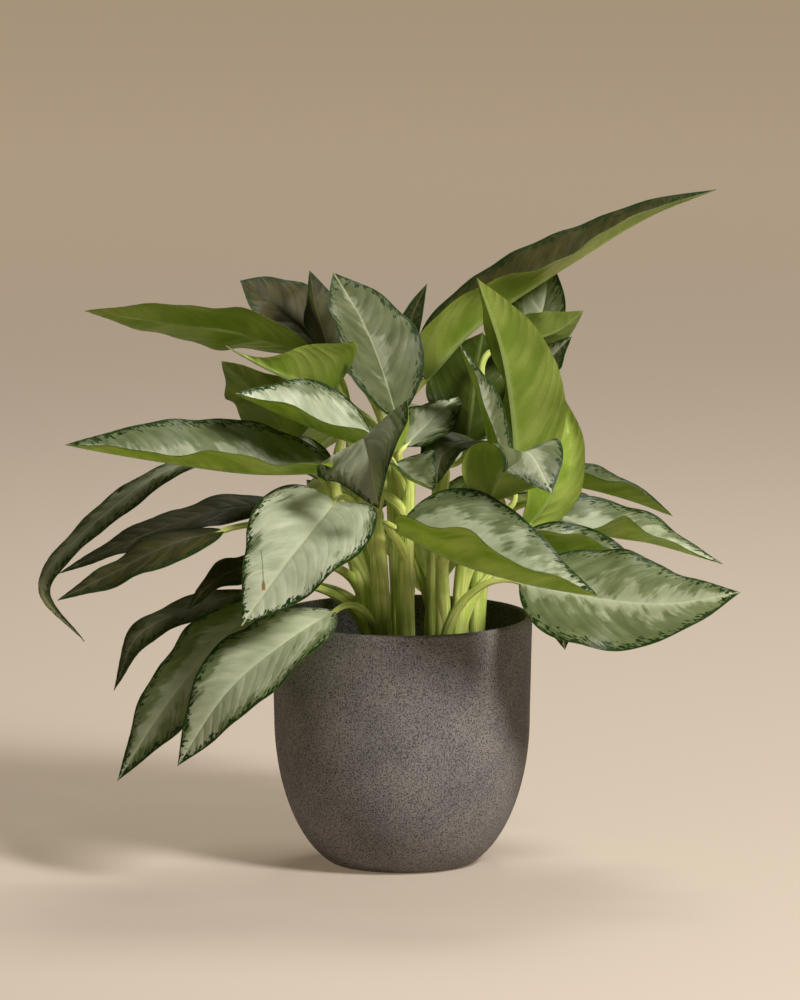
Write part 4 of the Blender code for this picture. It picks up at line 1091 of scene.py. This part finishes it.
def stalk_skin():
    """Live leaf stalk. To the eye it is pale green and juicy, streaked lengthwise and a little glossy."""
    material, tree, output = new_material("live_stalk_skin")
    place = add(tree, "ShaderNodeTexCoord", {}).outputs["Object"]
    # The streaks follow each stalk.
    around = add(tree, "ShaderNodeAttribute", {}, attribute_name="stalk_around").outputs["Vector"]
    around = {0: around, 3: STALK_USUAL_RADIUS / STREAK_WIDTH}
    around = add(tree, "ShaderNodeVectorMath", around, operation="SCALE").outputs[0]
    along = add(tree, "ShaderNodeAttribute", {}, attribute_name="stalk_along").outputs["Fac"]
    along = {0: along, 1: STREAK_LENGTH * MM}
    along = add(tree, "ShaderNodeMath", along, operation="DIVIDE").outputs[0]
    along = add(tree, "ShaderNodeCombineXYZ", {2: along}).outputs[0]
    # Stalks that stand apart differ, through a slow shift with their place.
    shift = 1 / (STREAKS_APART * MM)
    apart = {0: place, 1: (shift, shift, 0.0), 2: around}
    apart = add(tree, "ShaderNodeVectorMath", apart, operation="MULTIPLY_ADD").outputs[0]
    streaks = add(tree, "ShaderNodeVectorMath", {0: apart, 1: along}, operation="ADD").outputs[0]
    streaks = {"Vector": streaks, "Scale": 1.0, "Detail": 3.0}
    streaks = add(tree, "ShaderNodeTexNoise", streaks).outputs[0]
    share = add(tree, "ShaderNodeMapRange", {0: streaks, 1: 0.35, 2: 0.65}, **SMOOTH).outputs[0]
    colour = add(tree, "ShaderNodeMix", {0: share, 6: "#aec256", 7: "#dae08a"}, **COLOURS).outputs[2]
    # Patches about 22 mm across are greener.
    patches = add(tree, "ShaderNodeTexNoise", {"Vector": place, "Scale": 45.0, "Detail": 3.0}).outputs[0]
    share = add(tree, "ShaderNodeMapRange", {0: patches, 1: 0.45, 2: 0.75, 4: 0.5}, **SMOOTH).outputs[0]
    colour = add(tree, "ShaderNodeMix", {0: share, 6: colour, 7: "#83993c"}, **COLOURS).outputs[2]
    bump = {"Height": streaks, "Strength": 0.5, "Distance": 0.0008}
    bump = add(tree, "ShaderNodeBump", bump).outputs[0]
    skin = {
        "Base Color": colour,
        "Roughness": 0.42,
        "IOR": 1.45,
        "Normal": bump,
        "Subsurface Weight": 0.12,
        "Subsurface Scale": 0.003,
        "Subsurface Radius": (0.6, 1.0, 0.25),
    }
    skin = add(tree, "ShaderNodeBsdfPrincipled", skin).outputs[0]
    tree.links.new(skin, output.inputs[0])
    return material


def stoneware():
    """Unglazed dark stoneware with grit in its clay. To the eye it is matt grey, peppered all over with
    dark pores and pale grains about a millimetre across, and faintly clouded by the firing."""
    material, tree, output = new_material("speckled_stoneware")
    place = add(tree, "ShaderNodeTexCoord", {}).outputs["Object"]
    grit = {"Vector": place, "Scale": 1 / (GRIT_SIZE * MM), "Detail": 2.0, "Roughness": 0.7}
    grit = add(tree, "ShaderNodeTexNoise", grit).outputs[0]
    fired = {"Vector": place, "Scale": 1 / (FIRING_SIZE * MM), "Detail": 4.0, "Roughness": 0.6}
    fired = add(tree, "ShaderNodeTexNoise", fired).outputs[0]
    fired = add(tree, "ShaderNodeMapRange", {0: fired, 1: 0.3, 2: 0.7}, **SMOOTH).outputs[0]
    colour = add(tree, "ShaderNodeMix", {0: fired, 6: "#706d6d", 7: "#84807f"}, **COLOURS).outputs[2]
    pores = add(tree, "ShaderNodeMapRange", {0: grit, 1: 0.48, 2: 0.60, 4: 0.8}, **SMOOTH).outputs[0]
    grains = add(tree, "ShaderNodeMapRange", {0: grit, 1: 0.44, 2: 0.30, 4: 0.4}, **SMOOTH).outputs[0]
    for share, layer in ((pores, "#2a2828"), (grains, "#a09c9a")):
        colour = add(tree, "ShaderNodeMix", {0: share, 6: colour, 7: layer}, **COLOURS).outputs[2]
    bump = {"Height": grit, "Strength": 0.5, "Distance": 0.0004}
    bump = add(tree, "ShaderNodeBump", bump, invert=True).outputs[0]
    clay = {"Base Color": colour, "Roughness": 0.85, "Normal": bump, "Specular IOR Level": 0.3}
    clay = add(tree, "ShaderNodeBsdfPrincipled", clay).outputs[0]
    tree.links.new(clay, output.inputs[0])
    return material


def potting_soil():
    """Moist peat and fine bark. To the eye it is nearly black brown, with paler dry crumbs."""
    material, tree, output = new_material("moist_potting_soil")
    place = add(tree, "ShaderNodeTexCoord", {}).outputs["Object"]
    crumbs = {"Vector": place, "Scale": 1 / (CRUMB_SIZE * MM), "Detail": 5.0, "Roughness": 0.65}
    crumbs = add(tree, "ShaderNodeTexNoise", crumbs).outputs[0]
    share = add(tree, "ShaderNodeMapRange", {0: crumbs, 1: 0.35, 2: 0.7}, **SMOOTH).outputs[0]
    colour = add(tree, "ShaderNodeMix", {0: share, 6: "#1d1511", 7: "#4a3828"}, **COLOURS).outputs[2]
    bump = add(tree, "ShaderNodeBump", {"Height": crumbs, "Strength": 0.8, "Distance": 0.0015}).outputs[0]
    earth = {"Base Color": colour, "Roughness": 0.92, "Normal": bump, "Specular IOR Level": 0.25}
    earth = add(tree, "ShaderNodeBsdfPrincipled", earth).outputs[0]
    tree.links.new(earth, output.inputs[0])
    return material


def studio_paper():
    """Seamless studio paper. To the eye it is matt and warm beige, and as bright far off as near by,
    because its far part has lamps of its own."""
    material, tree, output = new_material("seamless_studio_paper")
    place = add(tree, "ShaderNodeTexCoord", {}).outputs["Object"]
    distance = add(tree, "ShaderNodeVectorMath", {0: place}, operation="LENGTH").outputs["Value"]
    lamps = {0: distance, 1: 2.2, 2: 4.6, 3: 0.22, 4: 0.51}
    lamps = add(tree, "ShaderNodeMapRange", lamps, **SMOOTH).outputs[0]
    paper = {
        "Base Color": "#b2a9a0",
        "Roughness": 0.95,
        "Specular IOR Level": 0.1,
        "Emission Color": "#d6bc9c",
        "Emission Strength": lamps,
    }
    paper = add(tree, "ShaderNodeBsdfPrincipled", paper).outputs[0]
    tree.links.new(paper, output.inputs[0])
    return material


def make_floor():
    """The studio's floor, which isn't part of the object."""
    angles = 2 * math.pi * np.arange(STUDIO_SIDES) / STUDIO_SIDES
    points = [(STUDIO_RADIUS * math.cos(a), STUDIO_RADIUS * math.sin(a), -STUDIO_DROP) for a in angles]
    floor = mesh_piece("studio_floor", points, [tuple(range(STUDIO_SIDES))], [studio_paper()])


def aim(thing, place, target):
    """Puts a light or the camera at a place, looking at a target, in metres."""
    thing.location = place
    way = Vector(target) - Vector(place)
    thing.rotation_euler = way.to_track_quat("-Z", "Y").to_euler()
    bpy.context.scene.collection.objects.link(thing)


def soft_light(name, place, width, watts, colour):
    """A round light panel at a place in metres, turned towards the plant."""
    light = bpy.data.lights.new(name, "AREA")
    light.shape = "DISK"
    light.size = width
    light.energy = watts
    light.color = linear(colour)[:3]
    aim(bpy.data.objects.new(name, light), place, LIGHT_TARGET)


def make_lights():
    """A key light at the front right, a weak one at the left, one behind, and a faint warm sky."""
    soft_light("key_light", place=(1.9, -2.0, 2.5), width=0.9, watts=160.0, colour="#fffaf2")
    soft_light("fill_light", place=(-2.4, -2.6, 1.2), width=2.4, watts=5.0, colour="#fff6ec")
    soft_light("back_light", place=(0.4, 1.7, 2.8), width=1.2, watts=55.0, colour="#fff8ea")
    world = bpy.data.worlds.new("studio")
    world.use_nodes = True
    sky = world.node_tree.nodes["Background"]
    sky.inputs["Color"].default_value = linear("#fff2e2")
    sky.inputs["Strength"].default_value = 0.03
    bpy.context.scene.world = world
    bpy.context.scene.view_settings.view_transform = "Standard"


def make_camera():
    """A long lens that sees the plant almost without perspective, from a little above."""
    rise = math.radians(CAMERA_ELEVATION)
    target = Vector(CAMERA_TARGET)
    place = target + Vector((0.0, -math.cos(rise), math.sin(rise))) * CAMERA_DISTANCE
    lens = bpy.data.cameras.new("camera")
    lens.sensor_width = 36.0
    lens.lens = lens.sensor_width * CAMERA_DISTANCE / FRAME_HEIGHT
    lens.clip_end = 200.0
    camera = bpy.data.objects.new("camera", lens)
    aim(camera, place, target)
    bpy.context.scene.camera = camera


def main():
    """Makes the studio, the pot, the soil, each cane with its stalks, and each blade."""
    make_camera()
    make_lights()
    make_floor()
    make_pot(stoneware())
    make_soil(potting_soil())
    skin = stalk_skin()
    tree = stalk_tree()
    for shoot in SHOOTS:
        make_shoot(shoot, tree, skin)
    sides = [leaf_upper(), leaf_under()]
    for number, leaf in enumerate(LEAVES):
        make_blade(leaf, number, sides)


main()
